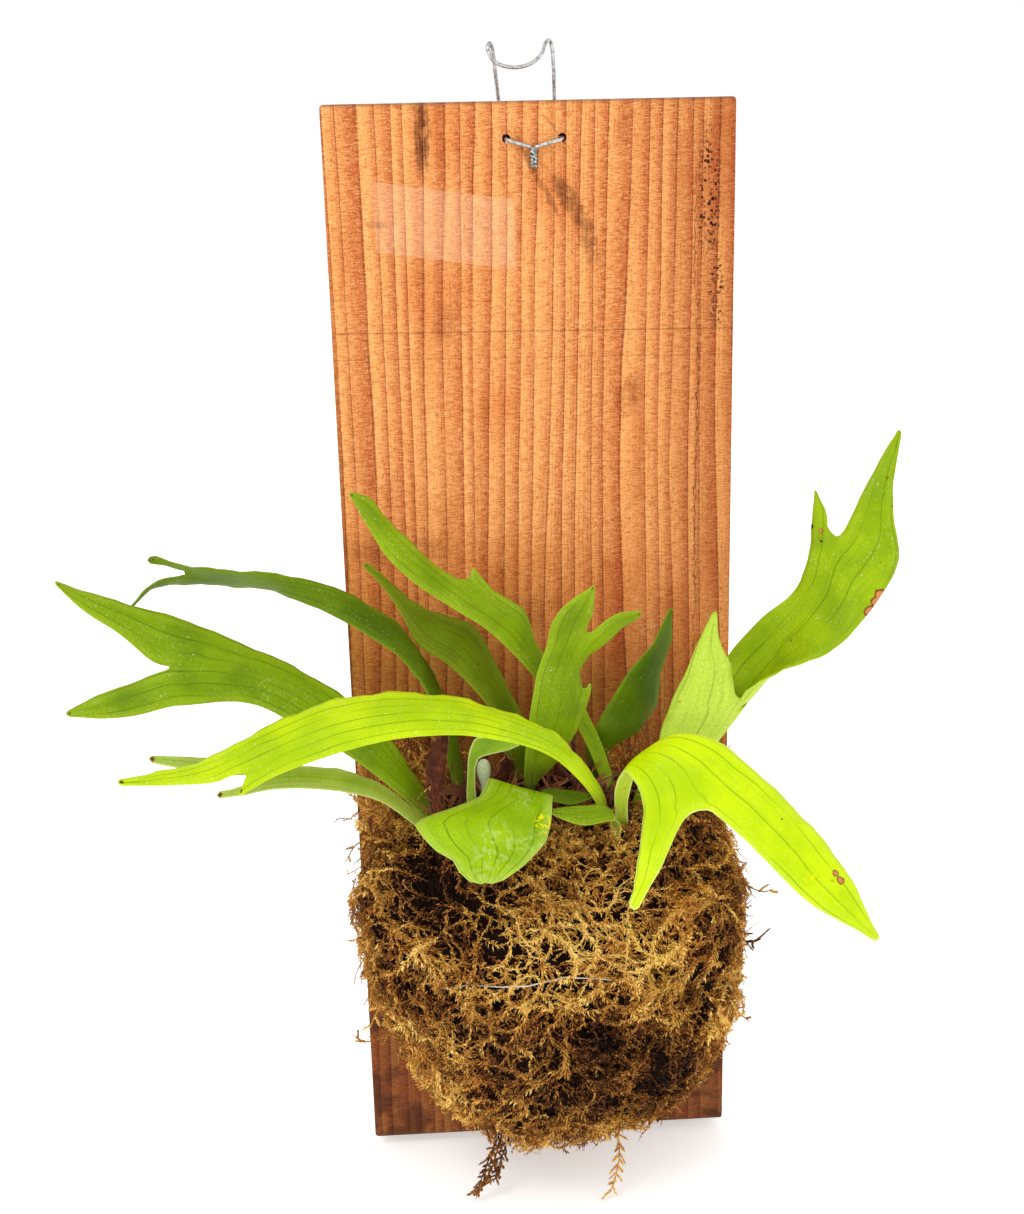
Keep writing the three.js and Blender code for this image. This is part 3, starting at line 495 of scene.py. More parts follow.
def ring_faces(paths: int, rings: int, sides: int) -> Array:
    """Gives the triangles of closed tubes whose points lie path by path and ring by ring.

    Args:
        paths: How many tubes there are.
        rings: How many rings each one has.
        sides: How many points each ring has.

    Returns:
        The triangles.
    """
    k, j = np.meshgrid(np.arange(rings - 1), np.arange(sides), indexing="ij")
    here = (k * sides + j).ravel()
    beside = (k * sides + (j + 1) % sides).ravel()
    fan = np.arange(1, sides - 1)
    last = (rings - 1) * sides
    corners = (
        (here, beside, beside + sides),
        (here, beside + sides, here + sides),
        (0 * fan, fan + 1, fan),
        (last + 0 * fan, last + fan, last + fan + 1),
    )
    one = np.concatenate([np.stack(three, 1) for three in corners])
    starts = np.arange(paths)[:, None, None] * rings * sides
    return (one[None] + starts).reshape(-1, 3)


def tube(points: Array, wide: Array, thick: Array, sides: int) -> Shape:
    """Makes a closed tube along one path, round or flattened.

    Args:
        points: The path.
        wide: Half of the width at each point.
        thick: Half of the thickness at each point.
        sides: How many points go round it.

    Returns:
        The tube.
    """
    _, side, other = framed(points[None])
    turn = FULL_TURN * np.arange(sides) / sides
    out = wide[:, None, None] * np.cos(turn)[None, :, None] * side[0][:, None]
    out = out + thick[:, None, None] * np.sin(turn)[None, :, None] * other[0][:, None]
    rings = points[:, None] + out
    return Shape(rings.reshape(-1, 3), ring_faces(1, len(points), sides))


# --- leaves


@dataclass(frozen=True)
class Lobe:
    """A lobe of a leaf, which starts from part of the row before it.

    Args:
        start: The column of that row where it starts; a whole leaf has six.
        end: The column where it ends.
        rows: Its own rows.
        lobes: Lobes that start from its last row.
    """

    start: int
    end: int
    rows: tuple[Row, ...]
    lobes: tuple["Lobe", ...] = ()


class MarkKind(Enum):
    """What a mark on a leaf is."""

    RUST = "rust"
    BROWN = "brown"
    YELLOW = "yellow"
    WATER = "water"


@dataclass(frozen=True)
class Mark:
    """One mark on a leaf: what it is, its centre and its radius in millimetres."""

    kind: MarkKind
    place: Point
    radius: float


@dataclass(frozen=True)
class LeafFinish:
    """The skin of one leaf.

    Args:
        upper: Colour of the upper face.
        shade: Colour of its darker patches.
        under: Colour of the lower face.
        vein: Colour of the veins.
        veins: How strongly they show.
        flecks: How many pale hairs it has.
        spots: How many small brown spots it has.
        browned: How far its tips are dried.
        rim: Colour of the paler margin, also a painted highlight along the very edge.
        hairy_rim: How far white hairs reach in from the margin.
    """

    upper: Paint
    shade: Paint
    under: Paint
    vein: Paint
    veins: float = 0.5
    flecks: float = 0.5
    spots: float = 0.0
    browned: float = 0.5
    rim: Paint = paint(168, 192, 40)
    hairy_rim: float = 0.0

    HAIR = paint(230, 240, 186)
    SPOT = paint(110, 64, 16)
    DRY = paint(104, 58, 20)
    # Olive of the stalk's foot, also darkened as painted shade down in the crown.
    FOOT_OLIVE_AND_SHADE = paint(116, 132, 42)
    SORES = {
        MarkKind.RUST: (paint(112, 44, 10), paint(206, 138, 84)),
        MarkKind.BROWN: (paint(84, 44, 8), paint(60, 30, 8)),
    }
    FAINT = {
        MarkKind.YELLOW: (paint(240, 226, 10), 0.95),
        MarkKind.WATER: (paint(200, 216, 128), 0.36),
    }

    def make(self, name: str, marks: Sequence[Mark]) -> Material:
        """Makes the material.

        Args:
            name: Its name.
            marks: Marks that only this leaf has.

        Returns:
            The material.
        """
        bench = Bench(name)
        place = bench.place()
        along, across = bench.value("along"), bench.value("across")
        rim, tip, below = bench.value("rim"), bench.value("tip"), bench.value("under")
        streaks = bench.noise(bench.join(across * 11, along * 0.03, 0), 1.6, 3.0)
        patches = bench.noise(place, 0.06, 3.0)
        waver = bench.noise(place, 0.045, 1.0) - 0.5
        line = (across * 2.9 + waver * 0.5 + 0.25).zigzag(0.5)
        fading = bench.noise(bench.join(across * 3, along * 0.03, 0), 1.0, 1.0).span(0.3, 0.55)
        vein = line.span(0.01, 0.06, 1.0, 0.0) * along.span(8, 26) * fading
        upper = bench.blend(patches.span(0.38, 0.68) * 0.75, self.upper, self.shade)
        upper = bench.blend(streaks.span(0.4, 0.75) * 0.35, upper, self.shade)
        upper = bench.blend(rim.span(0.3, 4.0, 0.35, 0.0), upper, self.rim)
        upper = bench.blend(vein * self.veins, upper, self.vein)
        lower = bench.blend(vein * 0.35, self.under, self.vein)
        lower = bench.blend(streaks.span(0.45, 0.8) * 0.3, lower, self.shade)
        skin = bench.blend(below.span(0.35, 0.65), upper, lower)
        pores = bench.noise(place, 1.1, 3.0, 0.7).span(0.35, 0.75)
        skin = bench.blend(pores * 0.34, skin, self.shade)
        # Towards the foot the stalk turns olive, its own colour, and darker as painted shade down
        # in the crown.
        skin = bench.blend(along.span(6, 30, 0.6, 0.0), skin, self.FOOT_OLIVE_AND_SHADE)
        hairs = bench.noise(bench.warp(place, 1.6, 0.5), 1.7, 2.0, 0.65)
        clouds = bench.noise(place, 0.09, 2.0).span(0.36, 0.6)
        hairy = hairs.span(0.63, 0.72) * clouds * self.flecks * 0.8
        skin = bench.blend(hairy, skin, self.HAIR)
        # Painted highlight: a thin light line in the margin's colour along the very edge.
        skin = bench.blend(rim.span(0.05, 0.45, 0.5, 0.0), skin, self.rim)
        if self.hairy_rim:
            ragged_rim = rim + (hairs - 0.5) * self.hairy_rim * 2
            white = ragged_rim.span(self.hairy_rim * 0.3, self.hairy_rim, 0.35, 0.0)
            skin = bench.blend(white, skin, self.HAIR)
        if self.spots:
            speck = bench.dots(bench.warp(place, 2.0, 0.4), 0.16).span(0.06, 0.12, 1, 0)
            chosen = bench.noise(place, 0.09, 0.0).span(0.5, 0.6)
            skin = bench.blend(speck * chosen * self.spots, skin, self.SPOT)
        skin = self._marked(bench, skin, place, marks)
        if self.browned:
            dried = tip.span(self.browned * 0.6, self.browned * 1.3, 1, 0)
            skin = bench.blend(dried, skin, self.DRY)
        rough = 0.42 + hairy * 0.3 + below * 0.16 + patches * 0.08
        height = bench.noise(place, 1.3, 2.0) * 0.3 + streaks * 0.3 + (1 - vein) * 0.4
        return bench.close(
            skin,
            rough,
            bench.bump(height, 0.8, 0.45),
            Specular_IOR_Level=0.1,
            Subsurface_Weight=0.1,
            Subsurface_Radius=(0.6, 1.0, 0.2),
            Subsurface_Scale=0.001,
        )

    def _marked(self, bench: Bench, skin: Shade, place: Shade, marks: Sequence[Mark]) -> Shade:
        """Lays the marks on the skin, the paler hearts of the sores last.

        Args:
            bench: The material's bench.
            skin: The colour so far.
            place: The point in millimetres.
            marks: The marks.

        Returns:
            The marked colour.
        """
        ragged = bench.warp(place, 2.2, 0.35)
        scribble = bench.noise(bench.warp(place, 3.0, 0.3), 0.55, 3.0, 0.6).span(0.48, 0.6)
        hearts = []
        for mark in marks:
            near = bench.far(ragged, mark.place) / mark.radius
            if mark.kind in self.FAINT:
                colour, strength = self.FAINT[mark.kind]
                skin = bench.blend(near.span(0.5, 1.3, strength, 0.0) * scribble, skin, colour)
            else:
                edge, heart = self.SORES[mark.kind]
                skin = bench.blend(near.span(0.85, 1.1, 0.95, 0.0), skin, edge)
                hearts.append((near.span(0.6, 0.85, 0.9, 0.0), heart))
        for share, heart in hearts:
            skin = bench.blend(share, skin, heart)
        return skin


@dataclass(frozen=True)
class HuskFinish:
    """The dry, papery skin of an old shield frond, in two browns and its pale margin."""

    light: Paint = paint(168, 88, 44)
    dark: Paint = paint(70, 26, 12)
    rim: Paint = paint(196, 140, 88)

    def make(self, name: str, marks: Sequence[Mark]) -> Material:
        """Makes the material.

        Args:
            name: Its name.
            marks: Not used by a husk, which has none.

        Returns:
            The material.
        """
        bench = Bench(name)
        place = bench.place()
        flow = bench.join(bench.value("across") * 14, bench.value("along") * 0.12, 0)
        fibres = bench.noise(bench.warp(flow, 1.2, 0.6), 1.8, 5.0, 0.7)
        patches = bench.noise(bench.warp(place, 2.0, 0.3), 0.3, 4.0, 0.65)
        share = fibres * 0.8 + patches * 0.4
        skin = bench.blend(share.span(0.42, 0.66), self.light, self.dark)
        skin = bench.blend(bench.value("rim").span(0.0, 0.7, 0.5, 0.0), skin, self.rim)
        normal = bench.bump(fibres * 0.6 + patches * 0.6, 1.0, 1.6)
        return bench.close(skin, 0.55 + fibres * 0.3, normal, Specular_IOR_Level=0.25)


@dataclass
class Leaf:
    """A leaf laid as a sheet between its two margins and then given its thickness.

    A row has the left and the right margin, seen on the upper face with the tip pointing
    away, and how far its middle rises from the line between them.

    Args:
        name: The CAD node that it stands for.
        finish: Its skin.
        rows: The rows of its stalk and blade.
        lobes: The lobes that start from the last row.
        marks: Marks on its skin.
        wave: How far its margin waves.
        wavelength: How long a wave is.
        slot: The name of a material slot, handed on to its piece.
        blade: Thickness of the blade.
        margin: Thickness at the margin.
        notch: How far round a notch it is rounded.
    """

    name: str
    finish: LeafFinish | HuskFinish
    rows: tuple[Row, ...]
    lobes: tuple[Lobe, ...] = ()
    marks: tuple[Mark, ...] = ()
    wave: float = 0.35
    wavelength: float = 19.0
    slot: str = "frond_green"
    blade: float = 0.85
    margin: float = 0.4
    notch: float = 5.5

    ACROSS = 6
    FINE = 3
    STEP = 2.6
    SOCKET = 9.0
    STALK = 2.3
    STALK_LENGTH = 26.0
    GROWING_POINT = (-6, -50, -95)
    NOTCH_PASSES = 26
    TIP = 1.4

    def build(self) -> None:
        """Lays the leaf's sheet and makes its piece."""
        self._points: list[Array] = []
        self._along: list[float] = []
        self._across: list[float] = []
        self._edge: list[float] = []
        self._faces: list[tuple[int, int, int]] = []
        self._notches: list[int] = []
        self._tips: list[Array] = []
        self._lay(self.lobes, [self._sunk(self.rows[0]), *self.rows], None, 0.0, (-1.0, 1.0))
        marks = [self._laid_on(mark) for mark in self.marks]
        skin = self.finish.make(f"{self.name}_skin", marks)
        self._thicken().piece(f"{self.name}_leaf", skin, self.slot, [self.name])

    def _laid_on(self, mark: Mark) -> Mark:
        """Moves a mark to the nearest point of the sheet."""
        nearest = np.linalg.norm(np.array(self._points) - mark.place, axis=1).argmin()
        return replace(mark, place=tuple(float(n) for n in self._points[nearest]))

    def _sunk(self, row: Row) -> Row:
        """Moves a row towards the growing point, for the foot in the crown.

        Args:
            row: The first row in sight.

        Returns:
            The narrower row below it.
        """
        left, right = np.array(row[0], float), np.array(row[1], float)
        middle = (left + right) / 2
        down = unit(np.array(self.GROWING_POINT) - middle) * self.SOCKET
        sunk = [tuple(side + (middle - side) * 0.25 + down) for side in (left, right)]
        return (sunk[0], sunk[1], row[2])

    def _lay(
        self,
        lobes: Sequence[Lobe],
        rows: Sequence[Row],
        start: list[int] | None,
        travelled: float,
        bearing: Pair,
        own_rows: int = 0,
    ) -> None:
        """Lays one strip of the sheet and then its lobes.

        Args:
            lobes: The lobes that start from its last row.
            rows: The rows that its margins pass through.
            start: The places of its first row, if that is laid already.
            travelled: How far its start is from the foot.
            bearing: Its part of the leaf's width, from -1 to 1.
            own_rows: How many of the rows are its own.
        """
        across = (len(start) - 1) if start else self.ACROSS * self.FINE
        left, right = (Spline([row[side] for row in rows]) for side in (0, 1))
        spans = len(rows) - 1
        first = len(rows) - own_rows - 1 if start else 0
        middles = [(np.array(row[0]) + np.array(row[1])) / 2 for row in rows]
        previous, distance = start, travelled
        for k in range(first, spans):
            length = float(np.linalg.norm(middles[k + 1] - middles[k]))
            steps = max(1, round(length / self.STEP))
            for i in range(0 if k == first and not start else 1, steps + 1):
                share = (k + i / steps) / spans
                rise = rows[k][2] + (rows[k + 1][2] - rows[k][2]) * i / steps
                forward = left.way(share) + right.way(share)
                row = self._row(left.at(share), right.at(share), rise, forward, across)
                indices = self._add_row(row, distance + length * i / steps, bearing)
                if previous:
                    self._join_rows(previous, indices)
                previous = indices
            distance += length
        if not lobes:
            self._tips.append((self._points[previous[0]] + self._points[previous[-1]]) / 2)
            self._point_tip(previous, distance, bearing, left.way(1) + right.way(1))
        for lobe in lobes:
            low, high = lobe.start * self.FINE, lobe.end * self.FINE
            ends = (self._points[previous[low]], self._points[previous[high]])
            rise = rows[-1][2] * ((high - low) / across) ** 2
            before = self._cut(rows[-2], low / across, high / across)
            corner = (tuple(ends[0]), tuple(ends[1]), rise)
            part = [bearing[0] + (bearing[1] - bearing[0]) * n / across for n in (low, high)]
            shared = previous[low : high + 1]
            lobe_rows = [before, corner, *lobe.rows]
            self._lay(lobe.lobes, lobe_rows, shared, distance, (part[0], part[1]), len(lobe.rows))
            if low > 0:
                self._notches.append(previous[low])

    @staticmethod
    def _cut(row: Row, low: float, high: float) -> Row:
        """Takes the part of a row between two shares of its width."""
        left, right = np.array(row[0], float), np.array(row[1], float)
        ends = [tuple(left + (right - left) * share) for share in (low, high)]
        return (ends[0], ends[1], row[2] * (high - low) ** 2)

    @staticmethod
    def _row(left: Array, right: Array, rise: float, forward: Array, across: int) -> Array:
        """Gives the points of one row, from the left margin to the right one.

        Args:
            left: The left margin.
            right: The right margin.
            rise: How far the middle rises.
            forward: The way to the tip.
            across: How many steps there are from margin to margin.

        Returns:
            The points.
        """
        side = right - left
        up = unit(np.cross(side, forward))
        share = (np.arange(across + 1) / across)[:, None]
        return left + side * share + up * rise * 4 * share * (1 - share)

    def _add_row(self, row: Array, distance: float, bearing: Pair) -> list[int]:
        """Adds a row's points to the sheet.

        Args:
            row: The points.
            distance: How far they are from the foot.
            bearing: The row's part of the leaf's width.

        Returns:
            The points' places in the sheet.
        """
        first = len(self._points)
        shares = np.linspace(0, 1, len(row))
        self._points.extend(row)
        self._along.extend([distance] * len(row))
        self._across.extend(bearing[0] + (bearing[1] - bearing[0]) * shares)
        self._edge.extend(np.abs(2 * shares - 1))
        return list(range(first, first + len(row)))

    def _join_rows(self, before: list[int], after: list[int]) -> None:
        """Fills the space between two rows with triangles.

        Args:
            before: The places of the row nearer the foot.
            after: The places of the next row.
        """
        for j in range(len(before) - 1):
            a, b, c, d = before[j], before[j + 1], after[j + 1], after[j]
            if j * 2 < len(before) - 1:
                self._faces += [(a, b, c), (a, c, d)]
            else:
                self._faces += [(a, b, d), (b, c, d)]

    def _point_tip(self, row: list[int], distance: float, bearing: Pair, forward: Array) -> None:
        """Rounds off the end of a lobe with one more, much narrower row.

        Args:
            row: The places of its last row.
            distance: How far that is from the foot.
            bearing: Its part of the leaf's width.
            forward: The way that the tip points.
        """
        points = np.array([self._points[i] for i in row])
        middle = (points[0] + points[-1]) / 2
        wide = float(np.linalg.norm(points[-1] - points[0]))
        length = min(wide * 0.45, self.TIP)
        last = middle + (points - middle) * 0.35 + unit(forward) * length
        self._join_rows(row, self._add_row(last, distance + length, bearing))

    def _thicken(self) -> Shape:
        """Eases the notches, waves the margins and gives the sheet its thickness.

        Returns:
            The closed leaf with its values.
        """
        points, faces = np.array(self._points), np.array(self._faces)
        rim_edges = self._open_edges(faces)
        points = self._ease_notches(points, faces, rim_edges)
        rim, tip = (
            np.linalg.norm(points[:, None] - ends[None], axis=2).min(1)
            for ends in (points[np.unique(rim_edges)], np.array(self._tips))
        )
        along, across, edge = (np.array(v) for v in (self._along, self._across, self._edge))
        beat = np.sin(FULL_TURN * along / self.wavelength + 1.9 * np.sign(across) + across)
        beat = beat + 0.5 * np.sin(FULL_TURN * along / (self.wavelength * 0.43) + 3.1 * across)
        calm = np.clip((along - 20) / 25, 0, 1)
        wave = (self.wave * beat * calm * np.exp(-rim / 2.6))[:, None]
        points = points + self._normals(points, faces) * wave
        stalk = np.clip(1 - along / self.STALK_LENGTH, 0, 1)
        middle = self.blade + (self.STALK - self.blade) * stalk * (1 - 0.6 * edge**2)
        full = 1 - np.exp(-rim / 0.9)
        half = (self.margin + (middle - self.margin) * full)[:, None] / 2
        normals = self._normals(points, faces)
        count = len(points)
        start, end = rim_edges.T
        sides = ((end, start, start + count), (end, start + count, end + count))
        closed = [faces, faces[:, ::-1] + count, *(np.stack(side, 1) for side in sides)]
        values = {"along": along, "across": across, "rim": rim, "tip": tip}
        doubled = {key: np.tile(numbers, 2) for key, numbers in values.items()}
        doubled["under"] = np.repeat([0.0, 1.0], count)
        both = np.concatenate([points + normals * half, points - normals * half])
        return Shape(both, np.concatenate(closed), doubled)

    @staticmethod
    def _open_edges(faces: Array) -> Array:
        """Finds the edges that only one face has, in that face's own direction."""
        edges = triangle_edges(faces).tolist()
        held = {tuple(edge) for edge in edges}
        return np.array([edge for edge in edges if (edge[1], edge[0]) not in held])

    @staticmethod
    def _normals(points: Array, faces: Array) -> Array:
        """Gives each point the mean direction of its faces.

        Args:
            points: The sheet's points.
            faces: Its triangles.

        Returns:
            A direction for each point.
        """
        a, b, c = (points[faces[:, n]] for n in range(3))
        facing = np.cross(b - a, c - a)
        normals = np.zeros_like(points)
        for n in range(3):
            np.add.at(normals, faces[:, n], facing)
        return unit(normals)

    def _ease_notches(self, points: Array, faces: Array, rim_edges: Array) -> Array:
        """Rounds the notches between lobes.

        Args:
            points: The sheet's points.
            faces: Its triangles.
            rim_edges: The edges of its margin.

        Returns:
            The moved points.
        """
        if not self._notches:
            return points
        notches = points[self._notches]
        near = np.linalg.norm(points[:, None] - notches[None], axis=2).min(1)
        pull = 0.6 * np.exp(-((near / self.notch) ** 2))[:, None]
        edges = triangle_edges(faces)
        on_rim = np.zeros(len(points), bool)
        on_rim[np.unique(rim_edges)] = True
        inner = edges[~on_rim[edges[:, 0]]]
        links = np.concatenate([inner, rim_edges, rim_edges[:, ::-1]])
        count = np.bincount(links[:, 0], minlength=len(points))[:, None].clip(1)
        for _ in range(self.NOTCH_PASSES):
            total = np.zeros_like(points)
            np.add.at(total, links[:, 0], points[links[:, 1]])
            points = points + pull * (total / count - points)
        return points


LIME = LeafFinish(
    paint(190, 217, 2), paint(152, 186, 1), paint(186, 206, 60), paint(98, 136, 2),
    veins=0.7, flecks=0.85, browned=0.8, rim=paint(206, 228, 30),
)
LIME_BRIGHT = replace(
    LIME, upper=paint(206, 232, 2), shade=paint(170, 206, 1), vein=paint(118, 158, 2),
    veins=0.6, flecks=0.7, spots=0.4, browned=0.0, rim=paint(226, 240, 60), hairy_rim=0.5,
)
LEAF_GREEN = LeafFinish(
    paint(128, 158, 2), paint(92, 122, 1), paint(150, 176, 60), paint(66, 98, 2), flecks=0.75
)
LEAF_GREEN_LIGHT = replace(
    LEAF_GREEN, upper=paint(136, 164, 2), shade=paint(100, 128, 1), veins=0.4
)
DEEP_GREEN = LeafFinish(
    paint(100, 128, 1), paint(66, 92, 0), paint(118, 140, 52), paint(46, 70, 0),
    veins=0.3, flecks=0.45, rim=paint(126, 152, 20),
)
OLIVE_GREEN = replace(
    DEEP_GREEN, upper=paint(114, 134, 2), shade=paint(82, 100, 1),
    spots=0.9, flecks=0.3, rim=paint(150, 166, 34),
)
PALE_GREEN = LeafFinish(
    paint(166, 186, 56), paint(126, 154, 28), paint(192, 204, 112), paint(122, 146, 34),
    veins=0.35, browned=0.9, rim=paint(204, 216, 120),
)
CUPPED_GREEN = replace(
    LEAF_GREEN, upper=paint(154, 184, 2), shade=paint(118, 150, 1), under=paint(190, 214, 74),
    veins=0.4, spots=0.6, flecks=0.7, browned=0.0,
)
PAD_GREEN = replace(
    LEAF_GREEN, upper=paint(160, 194, 2), shade=paint(120, 160, 1), vein=paint(66, 108, 2),
    veins=0.6, flecks=0.5, browned=0.0, rim=paint(206, 222, 110),
)
DOWNY_GREEN = LeafFinish(
    paint(140, 176, 40), paint(108, 148, 24), paint(150, 180, 76), paint(96, 130, 30),
    flecks=1.0, browned=0.0, hairy_rim=0.5,
)

